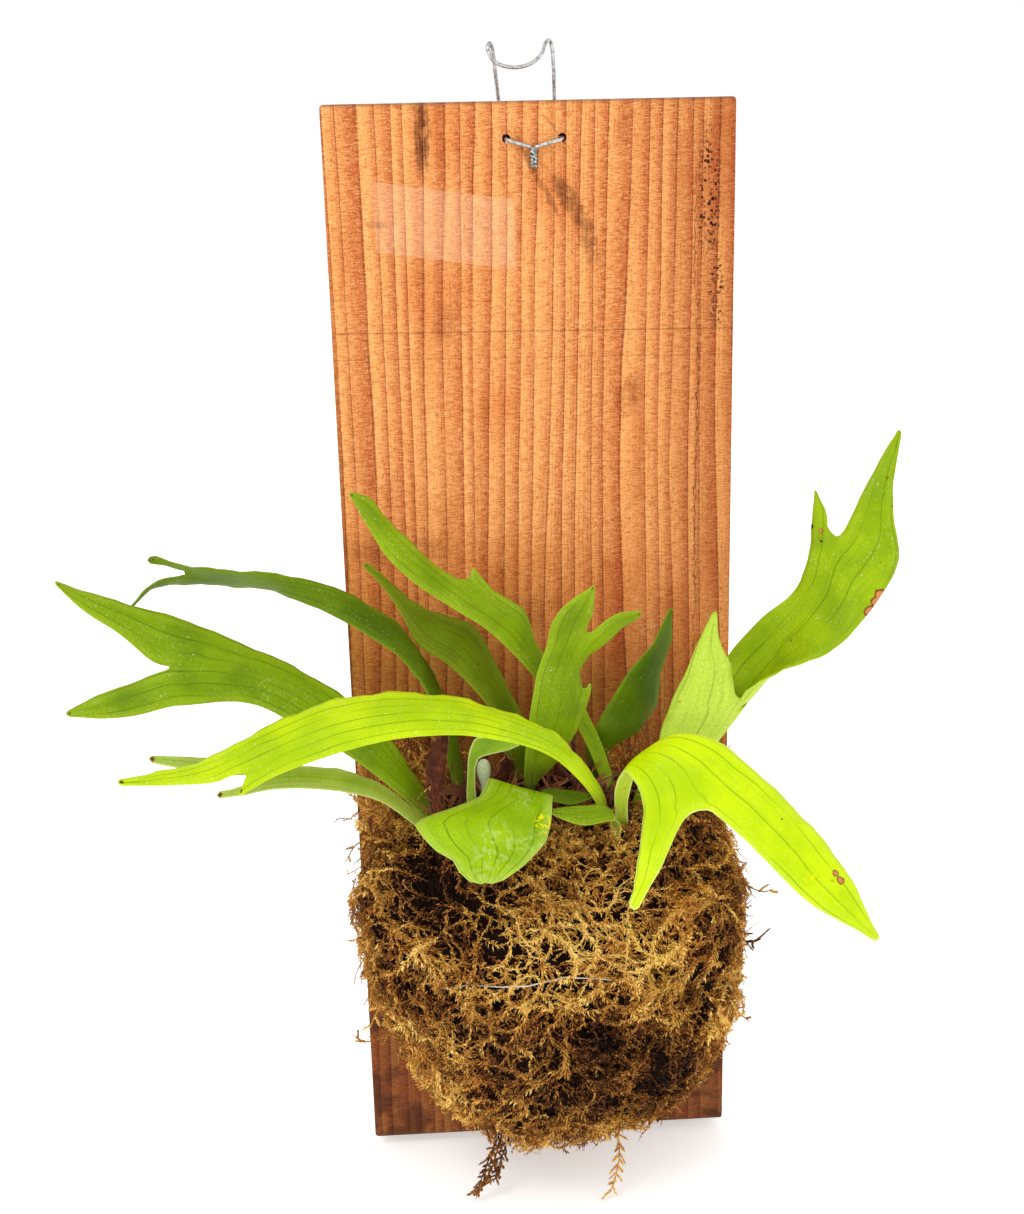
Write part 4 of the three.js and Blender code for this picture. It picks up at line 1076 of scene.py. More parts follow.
FRONDS = (
    Leaf("frond_left_long_arch", LIME, (
        ((16, -64, -42), (19, -60, -41), 0.6), ((5, -80, -20), (9, -74, -18), 0.8),
        ((-5, -90, -9), (-1, -82, -5), 1), ((-17, -98, -2), (-13, -88, 3), 1.4),
        ((-33, -104, 3), (-31, -92, 11), 1.8), ((-53, -109, 4), (-53, -96, 15), 2),
        ((-73, -111, 0), (-74, -98, 13), 2), ((-92, -110, -7), (-94, -98, 5), 1.6),
    ), (
        Lobe(0, 2, (((-99, -109, -12), (-99, -107, -10), 0),)),
        Lobe(2, 6, (
            ((-106, -106, -8), (-109, -98, -3), 1), ((-119, -103, -10), (-124, -98, -7), 0.6),
            ((-137, -99, -11), (-138, -98, -9), 0),
        )),
    ), wave=0.45),
    Leaf("frond_left_forked", LEAF_GREEN, (
        ((-44, -50, -47), (-40, -46, -44), 0.4), ((-55, -56, -33), (-49, -49, -28), 0.8),
        ((-69, -62, -18), (-56, -53, -14), 1.2), ((-84, -68, -5), (-68, -57, 0), 1.8),
        ((-100, -73, 6), (-86, -60, 14), 2), ((-122, -82, 9), (-113, -66, 30), 2),
    ), (
        Lobe(0, 3, (
            ((-134, -84, 7), (-140, -79, 15), 0.8), ((-144, -83, 6), (-149, -80, 12), 0.5),
            ((-155, -83, 7), (-156, -82, 9), 0),
        )),
        Lobe(3, 6, (
            ((-127, -76, 21), (-121, -67, 34), 1.2), ((-139, -76, 32), (-136, -70, 40), 0.8),
            ((-150, -77, 41), (-147, -73, 45), 0.5), ((-156, -77, 48), (-157, -76, 50), 0),
        )),
    )),
    Leaf("frond_left_edge_on", DEEP_GREEN, (
        ((-33, -50, -38), (-29, -46, -38), 0.3), ((-37, -54, -15), (-32, -46, -18), 0.6),
        ((-42, -56, 2), (-36, -45, -4), 1), ((-50, -56, 14), (-49, -45, 21), 1),
        ((-72, -53, 29), (-72, -48, 38), 0.8), ((-95, -48, 38), (-92, -58, 46), 0.6),
        ((-116, -50, 41), (-111, -62, 49), 0.4),
    ), (
        Lobe(0, 3, (
            ((-124, -53, 42.5), (-121, -58, 46), 0.3), ((-132, -59, 41.5), (-130, -62, 45), 0.2),
            ((-137.5, -66, 37.5), (-136, -67, 39), 0),
        )),
        Lobe(3, 6, (
            ((-121, -59, 49), (-119, -63, 51), 0.3), ((-130, -62, 52), (-128, -63, 54), 0),
        )),
    )),
    Leaf("frond_left_low", PALE_GREEN, (
        ((-44, -58, -50), (-40, -55, -49), 0.2), ((-60, -68, -32), (-60, -62, -28), 0.6),
        ((-79, -76, -24), (-74, -68, -20), 0.8), ((-94, -81, -21), (-91, -73, -16), 1),
    ), (
        Lobe(0, 3, (
            ((-101, -83, -22), (-101, -80, -20), 0.2), ((-110, -83, -23), (-110, -82, -21), 0),
        )),
        Lobe(3, 6, (
            ((-111, -82, -15), (-109, -78, -11), 0.2), ((-131, -82, -10), (-131, -81, -8), 0),
        )),
    )),
    Leaf("frond_upper_left", LEAF_GREEN_LIGHT, (
        ((20, -52, -46), (24, -50, -45), 0.3), ((10, -53, -14), (15, -51, -12), 0.4),
        ((-1, -56, -1), (5, -52, 5), 0.6), ((-6, -59, 8), (-3, -53, 15), 1),
        ((-15, -61, 19), (-7, -54, 28), 1.4), ((-22, -62, 26), (-16, -54, 35), 1.4),
        ((-28, -62, 30), (-21, -54, 39), 1.4),
    ), (
        Lobe(0, 4, (
            ((-34, -61, 34), (-31, -54, 41), 1), ((-45, -60, 42), (-43, -52, 51), 1.4),
            ((-53, -58, 50), (-52, -51, 61), 1.4), ((-59, -56, 60), (-59, -50, 69), 0.8),
            ((-64, -52, 69), (-64, -51, 71), 0),
        )),
        Lobe(4, 6, (((-25, -54, 43), (-24, -53, 44), 0),)),
    )),
    Leaf("frond_centre_forked", LEAF_GREEN_LIGHT, (
        ((-9, -54, -36), (-5, -54, -35), 0.4), ((-9, -62, -22), (3, -56, -25), 1),
        ((-8, -68, -9), (9, -60, -13), 1.6), ((-7, -72, 1), (13.4, -64, -2), 1.8),
    ), (
        Lobe(0, 5, (
            ((-5, -76, 13), (10, -66, 10), 1.6), ((-2, -78, 23), (14, -68, 18), 1.6),
        ), (
            Lobe(0, 3, (
                ((0, -79, 31), (12, -74, 29), 1), ((5, -80, 38), (14, -76, 36), 0.6),
                ((12, -79, 42), (14, -78, 42), 0),
            )),
            Lobe(3, 5, (
                ((15, -73, 27), (18, -69, 20), 0.6), ((21, -72, 31), (24, -68, 25), 0.4),
                ((29, -68, 31), (30, -67, 29), 0),
            )),
        )),
        Lobe(5, 6, (((12.4, -69, 6.6), (13.6, -68.5, 6), 0),)),
    )),
    Leaf("frond_left_olive", OLIVE_GREEN, (
        ((-11, -46, -38), (-7, -46, -38), 0.3), ((-16, -50, -22), (-5, -46, -24), 0.8),
        ((-20, -50, -8), (-11, -45, -6), 0.8), ((-27, -50, 2), (-17, -43, 6), 1),
        ((-35, -49, 10), (-24, -41, 20), 1.4), ((-44, -47, 16), (-33, -40, 24), 1.4),
        ((-50, -43, 27), (-45, -39, 29), 0.6), ((-56, -40, 36), (-53, -38, 37), 0.3),
        ((-62, -38, 42), (-60, -37, 43), 0),
    )),
    Leaf("frond_right_dark", DEEP_GREEN, (
        ((16, -43, -43), (20, -42, -43), 0.3), ((14, -44, -26), (22, -42, -28), 0.8),
        ((18, -49, -14), (34, -41, -20), 1.4), ((22, -49, -7), (40, -39, -12), 1.6),
        ((27, -46, 0), (41, -37, -5), 1.2), ((33, -43, 6), (43, -35, 1), 0.8),
        ((38.5, -40, 11.5), (46, -33, 10.5), 0.6), ((45, -37, 22.5), (46.3, -35, 21), 0),
    ), marks=(
        Mark(MarkKind.RUST, (29, -46, -2), 0.6),
    )),
    Leaf("frond_right_cupped", CUPPED_GREEN, (
        ((28, -51, -47), (32, -56, -48), -0.4), ((35, -52, -31), (46, -62, -32), -4),
        ((50, -46, -20), (37, -66, -17), -13), ((63, -45, 5), (40.5, -70, 0), -18.5),
    ), (
        Lobe(0, 4, (
            ((75, -50, 22), (70, -71, 6), -9), ((85, -52, 31), (83, -74, 12), -4),
            ((90, -53, 43), (97, -73, 18.6), -2), ((91, -52, 54), (107, -70, 28.5), -0.6),
        ), (
            Lobe(0, 1, (
                ((92, -50.5, 61), (96, -54, 57.5), 0), ((92, -50.5, 66), (93.2, -51, 65), 0),
            )),
            Lobe(1, 4, (
                ((99.5, -58, 52), (113, -67.5, 36), 1), ((104, -57, 60), (118, -64, 45), 1.2),
                ((109, -56, 70), (116, -62, 59), 0.8), ((114, -54, 78), (117, -58, 70), 0.4),
                ((119, -53, 86), (120, -54, 84), 0),
            )),
        )),
        Lobe(4, 6, (
            ((60, -72, 12), (44.5, -72.5, 10), -1), ((56, -74, 20), (47.5, -74, 19), -0.6),
            ((54.5, -74.8, 31), (52.8, -75, 31), 0),
        )),
    ), marks=(
        Mark(MarkKind.RUST, (108.5, -70, 28), 1.9), Mark(MarkKind.RUST, (110, -69, 30), 2.3),
        Mark(MarkKind.RUST, (111.5, -69, 32), 2.4), Mark(MarkKind.RUST, (113, -68, 34), 1.9),
        Mark(MarkKind.BROWN, (113.6, -69, 36), 0.7), Mark(MarkKind.BROWN, (91.2, -52, 53), 0.8),
        Mark(MarkKind.RUST, (94, -55, 53), 0.9), Mark(MarkKind.BROWN, (93.4, -55, 51), 0.4),
        Mark(MarkKind.BROWN, (119, -60, 62), 0.8),
    ), notch=3.2, wave=0.5),
    Leaf("frond_right_drooping", LIME_BRIGHT, (
        ((26, -60, -53), (22, -61, -52), 0.4), ((26, -68, -35), (21, -70, -33), 0.6),
        ((31, -76, -16), (23, -80, -21), 1), ((42, -80, -8), (26, -90, -22), 1.4),
        ((53, -84, -10), (27, -98, -28), 2), ((62, -90, -16), (25, -106, -32), 2),
    ), (
        Lobe(0, 3, (
            ((74, -98, -27), (53, -108, -30), 1.6), ((82, -106, -35), (63, -115, -39), 1.4),
            ((90, -114, -46), (75, -120, -51), 1), ((97, -124, -62), (94, -125, -62), 0),
        )),
        Lobe(3, 6, (
            ((36, -108, -31), (23, -112, -39), 1), ((31, -114, -38), (21, -117, -45), 0.6),
            ((22, -121, -50), (19, -121, -48), 0),
        )),
    ), marks=(
        Mark(MarkKind.RUST, (86, -113, -48), 1.5), Mark(MarkKind.RUST, (84.6, -113, -47.4), 1.2),
        Mark(MarkKind.YELLOW, (76, -112, -46), 1.8), Mark(MarkKind.BROWN, (70, -106, -28), 0.75),
    )),
    Leaf("frond_front_pad", PAD_GREEN, (
        ((-13, -60, -38), (-18, -61, -38), 0.4), ((-5, -71, -33.5), (-20, -70, -29), 0),
        ((-1, -80, -28.2), (-22, -78, -22), -0.6), ((-1.6, -84, -29.2), (-25.5, -83, -26.5), 0.8),
        ((-2, -88, -31), (-36, -87, -29), 1.6), ((-3, -93, -34), (-47, -93, -31), 2),
        ((-4, -96, -35.5), (-44.5, -96, -34), 1.9), ((-5, -98, -37), (-40, -99, -38), 1.8),
        ((-8, -101, -39), (-35, -102, -40), 1.4), ((-13, -105, -42), (-33, -105, -43), 1),
        ((-19, -109, -44), (-30, -109, -44), 0.4),
    ), marks=(
        Mark(MarkKind.YELLOW, (-4.4, -91, -32), 3.0), Mark(MarkKind.YELLOW, (-5.6, -94, -34), 3.0),
        Mark(MarkKind.WATER, (-20, -100, -36), 8.0), Mark(MarkKind.WATER, (-12, -84, -26), 5.5),
        Mark(MarkKind.WATER, (-24, -106, -41), 6.0), Mark(MarkKind.WATER, (-8, -99, -36), 5.0),
    ), wave=0.5, wavelength=24.0),
    Leaf("frond_front_small", LEAF_GREEN, (
        ((23, -69, -49), (19, -70, -48), 0.2), ((21, -74, -41), (18, -71, -37), 0.4),
        ((10, -79, -40), (9, -74, -35), 0.8), ((3, -81, -37), (3, -77, -34), 0.5),
        ((-2, -81, -34), (-1, -80, -33), 0),
    )),
    Leaf("frond_centre_small", DEEP_GREEN, (
        ((-6, -62, -41), (-4, -66, -42), 0.2), ((-3, -63, -33), (-1, -69, -35), 0.4),
        ((5, -64, -33), (6, -70, -36), 0.4), ((13, -66, -34), (13, -68, -35), 0),
    )),
    Leaf("frond_young_curled", DOWNY_GREEN, (
        ((-29, -60, -40), (-25.5, -60, -40), 0.3), ((-28.7, -62, -24), (-26, -63, -24), -0.3),
        ((-28, -65, -17), (-23.8, -68, -18), -1), ((-26.4, -67, -12.5), (-17, -71, -15.5), -1.6),
        ((-22, -70, -9), (-11.5, -74, -12.5), -1),
    ), wave=0.9, wavelength=6.5),
)

HUSKS = tuple(
    Leaf(
        name, HuskFinish(), rows, wave=2.7, wavelength=5.6, slot="dry_husk", blade=0.6, margin=0.35
    )
    for name, rows in (
        ("husk_left", (
            ((-40, -57, -46), (-36, -59, -46), 1), ((-43, -58, -32), (-37, -60, -34), 1.6),
            ((-42, -58, -18), (-36, -61, -24), 1.6), ((-37, -60, -11), (-34.5, -61, -12), 0),
        )),
        ("husk_centre", (
            ((-25, -50, -44), (-19, -49, -44), 1), ((-24, -49.5, -37), (-16, -51, -36), 1.4),
            ((-18, -55, -28.5), (-12.5, -53, -28), 1), ((-17.5, -57, -23.5), (-12, -55, -24), 0),
        )),
        ("husk_right", (
            ((2, -48, -46), (9, -48, -46), 1), ((1, -48, -36), (12, -48, -35), 1.6),
            ((3, -49, -26), (10, -49, -24), 0.8), ((6, -50, -17), (8, -50, -16), 0),
        )),
    )
)


# --- moss


@dataclass(frozen=True)
class Patch:
    """A round place on the front of the wrap, of another tone or height.

    Args:
        x: Its middle, sideways.
        z: Its middle, upright.
        radius: Its radius.
        tone: Its lighter or darker tone, partly painted light and shade that follow its rise.
        rise: How far it stands out, or lies in where it is below 0.
    """

    x: float
    z: float
    radius: float
    tone: float
    rise: float = 0.0

    def share(self, x: Array, z: Array) -> Array:
        """Gives how fully places belong to it, from 0 to 1."""
        return np.exp(-((x - self.x) ** 2 + (z - self.z) ** 2) / self.radius**2)


@dataclass(frozen=True)
class StemKind:
    """One kind of moss stem. Every pair is the least and the most.

    Args:
        name: The name of its pieces.
        length: How long a stem is.
        leaflet: How long its leaflets are.
        spacing: How far apart they are.
        core: The radius of the bare stem.
        count: How many stems a piece has.
        pieces: How many pieces there are.
        tone: How light it is.
        curl: How fast it turns, in radians for each millimetre.
        spread: How far it strays from the way that the moss lies.
        level: How far over the wrap it starts.
        lift: How much higher its tip is.
        sway: How far it moves up and down.
        edge_only: Whether it grows only round the edge of the wrap.
        picked: Whether only the lightest places get it.
    """

    name: str
    length: float
    leaflet: float
    spacing: float
    core: float
    count: int = 1
    pieces: int = 1
    tone: Pair = (0, 0)
    curl: Pair = (0, 0)
    spread: float = 0
    level: Pair = (0, 0)
    lift: Pair = (0, 0)
    sway: float = 0
    edge_only: bool = False
    picked: bool = False


@dataclass(frozen=True)
class Tangle:
    """A tangle of dry stems that stands up from the top of the moss.

    Args:
        middle: Its middle, where the stems start.
        half: Half of the width of that place, each way.
        count: How many stems it has.
        length: Their shortest and longest length.
        tone: Their darkest and lightest tone.
    """

    middle: Point
    half: Point
    count: int
    length: Pair
    tone: Pair


@dataclass(frozen=True)
class MossFinish:
    """Dried feathery moss, with painted highlights on its tips and painted shade in its heart."""

    stops: tuple[tuple[float, Paint], ...] = (
        (0.0, paint(22, 10, 5)),
        (0.2, paint(94, 52, 24)),
        (0.4, paint(148, 94, 44)),
        (0.6, paint(190, 130, 54)),
        (0.8, paint(222, 168, 72)),
        (1.0, paint(250, 216, 124)),
    )

    def make(self) -> Material:
        """Makes the material of the stems.

        Returns:
            The material.
        """
        bench = Bench("moss_stem_skin")
        place = bench.place()
        mottle = bench.noise(place, 0.5, 3.0) - 0.5
        # Painted light and shade: each leaflet is lighter towards its point, a painted highlight,
        # and darker at its root, painted shade.
        tone = bench.value("tone") + bench.value("tip") * 0.4 + mottle * 0.38 - 0.05
        colour = bench.ramp(tone, self.stops)
        green = bench.noise(place, 0.045, 1.0).span(0.5, 0.7) * 0.2
        colour = bench.blend(green, colour, bench.darken(1.0, colour, paint(226, 240, 130)))
        red = bench.noise(bench.move(place, (50, 20, 70)), 0.06, 1.0).span(0.5, 0.7) * 0.3
        colour = bench.blend(red, colour, bench.darken(1.0, colour, paint(255, 206, 170)))
        return bench.close(colour, 0.8, Specular_IOR_Level=0.2)

    def make_shaded_heart(self) -> Material:
        """Makes the heart's material, near-black as painted shade in the gaps between stems.

        Returns:
            The material.
        """
        bench = Bench("moss_heart_shade_skin")
        place = bench.place()
        fibres = bench.noise(bench.warp(place, 2.5, 0.35), 1.1, 5.0, 0.7)
        clumps = bench.noise(place, 0.12, 2.0)
        # Painted shade: the heart is kept near-black, as the shade in the gaps between the stems.
        colour = bench.ramp(fibres * 0.4 + clumps * 0.1 - 0.24, self.stops)
        normal = bench.bump(fibres, 1.0, 1.6)
        return bench.close(colour, 0.9, normal, Specular_IOR_Level=0.1)


@dataclass
class MossWrap:
    """The wrap of moss round the root ball: a dense heart under thousands of leafy stems.

    Args:
        finish: Its colours.
        half_x: Half of its width.
        half_z: Its reach up and down.
        deep: Its depth.
        plan: How square it is from above; 2 is an ellipse.
        profile: How square it is from the side, above and below its middle.
        centre_z: The height of its middle.
        back: Where its back lies.
        tuck: The share that it draws in at the board.
        tuck_depth: Over what depth it does so.
        taper: How much wider it gets upwards.
        shift: How far it sits to the right.
        sag: How much further its lower half does.
        relief: The height of its waves.
        crown: Middle and half widths of its opening.
        patches: Places of another tone or height.
        seed: The seed of its stems.
    """

    finish: MossFinish = MossFinish()
    half_x: float = 72.0
    half_z: Pair = (71.0, 83.0)
    deep: float = 71.0
    plan: float = 2.7
    profile: Pair = (2.6, 2.0)
    centre_z: float = -106.0
    back: float = -19.3
    tuck: float = 0.09
    tuck_depth: float = 20.0
    taper: float = 0.0013
    shift: float = 1.0
    sag: float = 4.0
    relief: float = 3.4
    crown: tuple[float, float, float, float] = (-6, -55, 36, 13)
    # The tones follow the rises: raised patches lighter and sunken ones darker, painted light and
    # shade over the relief along with the moss's own colour.
    patches: tuple[Patch, ...] = (
        Patch(-42, -67, 11, -0.46, -5.0), Patch(-50, -96, 15, -0.1, -1.5),
        Patch(24, -80, 18, 0.2, 2.5), Patch(-8, -90, 18, 0.3, 2.0),
        Patch(-16, -80, 10, 0.16, 1.0), Patch(38, -92, 14, 0.0, 1.5),
        Patch(62, -118, 12, 0.2, 0.5), Patch(-56, -62, 12, 0.12, 1.5),
        Patch(14, -128, 18, -0.16, -2.0), Patch(-6, -146, 18, -0.1, -1.0),
        Patch(40, -140, 18, -0.36, -2.0), Patch(26, -86, 24, 0.14, 0.5),
        Patch(10, -68, 15, 0.18), Patch(-50, -84, 12, 0.24),
        Patch(18, -114, 20, -0.24), Patch(-18, -114, 18, -0.16),
        Patch(-14, -82, 14, 0.1), Patch(60, -96, 12, -0.08, -1.0),
        Patch(-40, -124, 14, 0.1, 1.0), Patch(8, -106, 10, -0.1, -1.0),
        Patch(-44, -146, 10, 0.16, 1.0),
    )
    seed: int = 11

    KINDS = (
        # moss_under takes the darkest tones: painted shade under the stems that lie over it.
        StemKind(
            "moss_under", 13, 1.9, 0.5, 0.2, 640, 3, (0.08, 0.5), (0.02, 0.2),
            spread=0.9, level=(-4.6, -2.2), lift=(0.4, 2.4), sway=0.9,
        ),
        StemKind(
            "moss_over", 34, 1.9, 0.3, 0.22, 140, 2, (0.32, 0.74), (0.01, 0.16),
            spread=0.8, level=(-2.6, 0), lift=(0.5, 3), sway=1.5,
        ),
        StemKind(
            "moss_plume", 34, 1.9, 0.17, 0.22, 40, 1, (0.46, 0.7), (0.02, 0.14),
            spread=1.2, level=(-0.4, 1.2), lift=(0.5, 2.5), sway=1, picked=True,
        ),
        StemKind(
            "moss_tuft", 11, 1.6, 0.42, 0.2, 1050, 1, (0.2, 0.7), (0.02, 0.28),
            spread=0.9, level=(-3.4, -1), lift=(2, 5), sway=0.8,
        ),
        StemKind(
            "moss_fringe", 15, 1.4, 0.42, 0.2, 240, 1, (0.3, 0.8), (0.02, 0.14),
            spread=1, level=(-2.6, -0.6), lift=(2, 6.5), sway=0.8, edge_only=True,
        ),
    )
    STRAND = StemKind("strand", 24, 0.8, 0.3, 0.34)
    DRY_STEM = StemKind("dry", 18, 1.4, 0.34, 0.24)
    STRANDS = (
        (((-19, -52, -170), (-24, -55, -181), (-28, -58, -190), (-30, -59, -197)), 0.2, 22),
        (((-17, -54, -172), (-21, -57, -183), (-24, -58, -192)), 0.14, 16),
        (((-20, -53, -172), (-24, -56, -184), (-28, -58, -194)), 0.3, 16),
        (((20, -55, -167), (23, -58, -178), (22, -60, -189), (19, -60, -198)), 0.66, 18),
        (((58, -52, -70), (67, -56, -74), (75, -58, -77), (79, -58, -76)), 0.55, 4),
        (((-50, -52, -108), (-58, -55, -112), (-64, -57, -118), (-68, -58, -126)), 0.8, 6),
        (((-52, -50, -100), (-60, -54, -103), (-67, -56, -108)), 0.76, 4),
        (((60, -50, -92), (68, -53, -97), (73, -54, -100), (76, -54, -99)), 0.2, 8),
        (((-54, -50, -126), (-63, -53, -131), (-70, -54, -132), (-74, -54, -129)), 0.6, 4),
        (((-56, -50, -56), (-62, -54, -52), (-68, -56, -53), (-73, -57, -60)), 0.55, 5),
        (((60, -46, -126), (68, -49, -130), (74, -50, -133)), 0.4, 3),
        (((36, -42, -48), (38, -43, -36), (41, -44, -26), (40, -44, -17)), 0.42, 9),
        (((30, -40, -46), (33, -41, -34), (31, -42, -25)), 0.3, 7),
        (((44, -44, -50), (49, -46, -39), (52, -47, -31)), 0.36, 7),
    )
    TANGLES = (
        Tangle((-46, -33, -38), (12, 10, 6), 110, (10, 26), (0.3, 0.7)),
        Tangle((-60, -34, -52), (8, 10, 5), 50, (6, 16), (0.4, 0.8)),
        Tangle((37, -41, -40), (10, 4, 5), 70, (9, 24), (0.24, 0.6)),
        Tangle((12, -32, -44), (24, 6, 3), 30, (6, 14), (0.2, 0.5)),
        Tangle((5, -70, -52), (17, 4, 3), 120, (4, 9), (0.36, 0.76)),
    )
    BOARD_FACE = -20.4
    BOARD_HALF = 73
    BESIDE_BOARD = -17.0
    MEAN_REACH = 76
    JOINT = 1.9
    BLADE_HALF = 0.32
    HANG = 0.5
    CROWN_FLOOR = -75.0
    CROWN_BACK = 3.0
    HEART_SUNK = 4.6
    HEART_FLOOR = -58.0
    HEART_GRID = (56, 150)
    LINE_ROOM = 2.6
    TRIED = 1.7
    TRIED_IF_PICKED = 9

    def build(self, kept_clear: Array) -> None:
        """Builds the heart, the stems and the hanging strands.

        Args:
            kept_clear: Points of the tie line that stay in sight.
        """
        self._clear = kept_clear
        self._heart()
        skin = self.finish.make()
        rng = np.random.default_rng(self.seed)
        for kind in self.KINDS:
            for number in range(kind.pieces):
                shape = self._stems(kind, rng)
                shape.piece(f"{kind.name}_{number + 1}", skin, "moss", smooth=False)
        self._strands(rng).piece("moss_strands", skin, "moss", smooth=False)
        self._tangled(rng).piece("moss_tangle", skin, "moss", smooth=False)

    def surface(self, ways: Array, rise: Array) -> Array:
        """Gives points on or over the wrap.

        Args:
            ways: Unit directions from the middle of its back.
            rise: How far over it each point is.

        Returns:
            The points.
        """
        x, y, z = (np.abs(ways[..., n]) for n in range(3))
        plan = ((x / self.half_x) ** self.plan + (y / self.deep) ** self.plan) ** (1 / self.plan)
        high = ways[..., 2] > 0
        half = np.where(high, *self.half_z)
        power = np.where(high, *self.profile)
        reach = (plan**power + (z / half) ** power) ** (-1 / power)
        depth = np.clip(-3 * ways[..., 1], 0, 1)
        local = ways * (reach + self.relief * self._waves(ways) * depth)[..., None]
        for patch in self.patches:
            share = patch.share(local[..., 0], local[..., 2] + self.centre_z)
            local = local + ways * (patch.rise * depth * share)[..., None]
        return self.settled(local + ways * rise[..., None])

    def settled(self, local: Array) -> Array:
        """Moves points to where they lie on the board, as the CAD does.

        Args:
            local: Points of the squared ellipsoid, from its own middle.

        Returns:
            The points on the board.
        """
        near = np.clip(1 + local[..., 1] / self.tuck_depth, 0, None)
        tuck = 1 - self.tuck * near**2
        low = np.clip(-local[..., 2] / self.half_z[1], 0, 1)
        x = local[..., 0] * tuck * (1 + self.taper * local[..., 2])
        x = x + self.shift + self.sag * np.sin(np.pi * low)
        return np.stack([x, self.back + local[..., 1], self.centre_z + local[..., 2] * tuck], -1)

    @staticmethod
    def _waves(ways: Array) -> Array:
        """Gives the waves of the wrap, as the CAD has them.

        Args:
            ways: Unit directions from the middle of its back.

        Returns:
            The height of the waves there, from about -1 to 1.
        """
        x, y, z = (ways[..., n] for n in range(3))
        wide = np.sin(11 * x + 5 * z + 1.3) * np.sin(9 * z - 4 * y + 0.4)
        middle = np.sin(23 * x - 17 * z + 2.1) * np.sin(19 * z + 21 * y + 0.9)
        fine = np.sin(41 * x + 37 * y - 1.7) * np.sin(43 * z - 31 * x + 3.1)
        return 0.45 * wide + 0.35 * middle + 0.3 * fine

    def _tone(self, points: Array) -> Array:
        """Gives the tone of the moss.

        Args:
            points: Points on it.

        Returns:
            How much lighter or darker it is at each of them.
        """
        x, y, z = (points[..., n] for n in range(3))
        front = np.clip((-y - 30) / 30, 0, 1)
        tone = 0.13 * np.sin(x / 7 + z / 11 + 1) * np.sin(z / 6 - x / 15 + y / 9)
        tone = tone + 0.1 * np.sin(x / 3.1 - z / 4.3) * np.sin(z / 3.7 + y / 4 + 2)
        # The patches' tones carry painted light on their rises and painted shade in their hollows.
        for patch in self.patches:
            tone += patch.tone * front * patch.share(x, z)
        return tone

    @staticmethod
    def _lie(ways: Array) -> Array:
        """Gives the way that the moss lies, which changes slowly over the wrap.

        Args:
            ways: Unit directions from the middle of its back.

        Returns:
            A direction for each of them.
        """
        x, y, z = (ways[..., n] for n in range(3))
        turn = -math.pi / 2 + 1.5 * np.sin(5 * x + 2 * z + 0.6)
        turn = turn + 1.2 * np.sin(6 * z - 3 * x + 4 * y + 2)
        return np.stack([np.cos(turn), 0 * turn, np.sin(turn)], -1)

    def _in_crown(self, points: Array, inset: float) -> Array:
        """Tells which points lie over the opening at the crown.

        Args:
            points: The points.
            inset: How much narrower the opening is taken.

        Returns:
            A yes or no for each point.
        """
        x, y, wide, deep = self.crown
        flat = (points - [x, y + self.CROWN_BACK, 0])[..., :2] / [wide - inset, deep - 4]
        return (flat**2).sum(-1) < 1

    def _heart(self) -> None:
        """Builds the dense heart, with an opening at the crown."""
        rings, around = self.HEART_GRID
        turn = FULL_TURN * np.arange(around) / around
        lift = math.pi / 2 * np.arange(rings) / rings
        lift, turn = (grid.ravel() for grid in np.meshgrid(lift, turn, indexing="ij"))
        flat = np.cos(lift)
        ways = np.stack([flat * np.cos(turn), -np.sin(lift), flat * np.sin(turn)], 1)
        ways = np.vstack([ways, [[0, -1, 0]]])
        rough = np.random.default_rng(self.seed + 1).uniform(-0.9, 0.5, len(ways))
        points = self.surface(ways, rough - self.HEART_SUNK)
        points[:, 1] = np.minimum(points[:, 1], self.back)
        back = len(points)
        points = np.vstack([points, [[0, self.back, self.centre_z]]])
        i = np.arange(around)
        beside = (i + 1) % around
        faces = []
        for k in range(rings - 1):
            here, there = k * around + i, k * around + beside
            faces += [np.stack([here, there, there + around], 1)]
            faces += [np.stack([here, there + around, here + around], 1)]
        top = (rings - 1) * around
        faces.append(np.stack([top + i, top + beside, 0 * i + back - 1], 1))
        faces.append(np.stack([beside, i, 0 * i + back], 1))
        sunk = self._in_crown(points, 3) & (points[:, 2] > self.centre_z)
        points[sunk, 2] = np.minimum(points[sunk, 2], self.HEART_FLOOR)
        heart = Shape(points, np.concatenate(faces))
        heart.piece("moss_heart", self.finish.make_shaded_heart(), "moss", ["moss"])

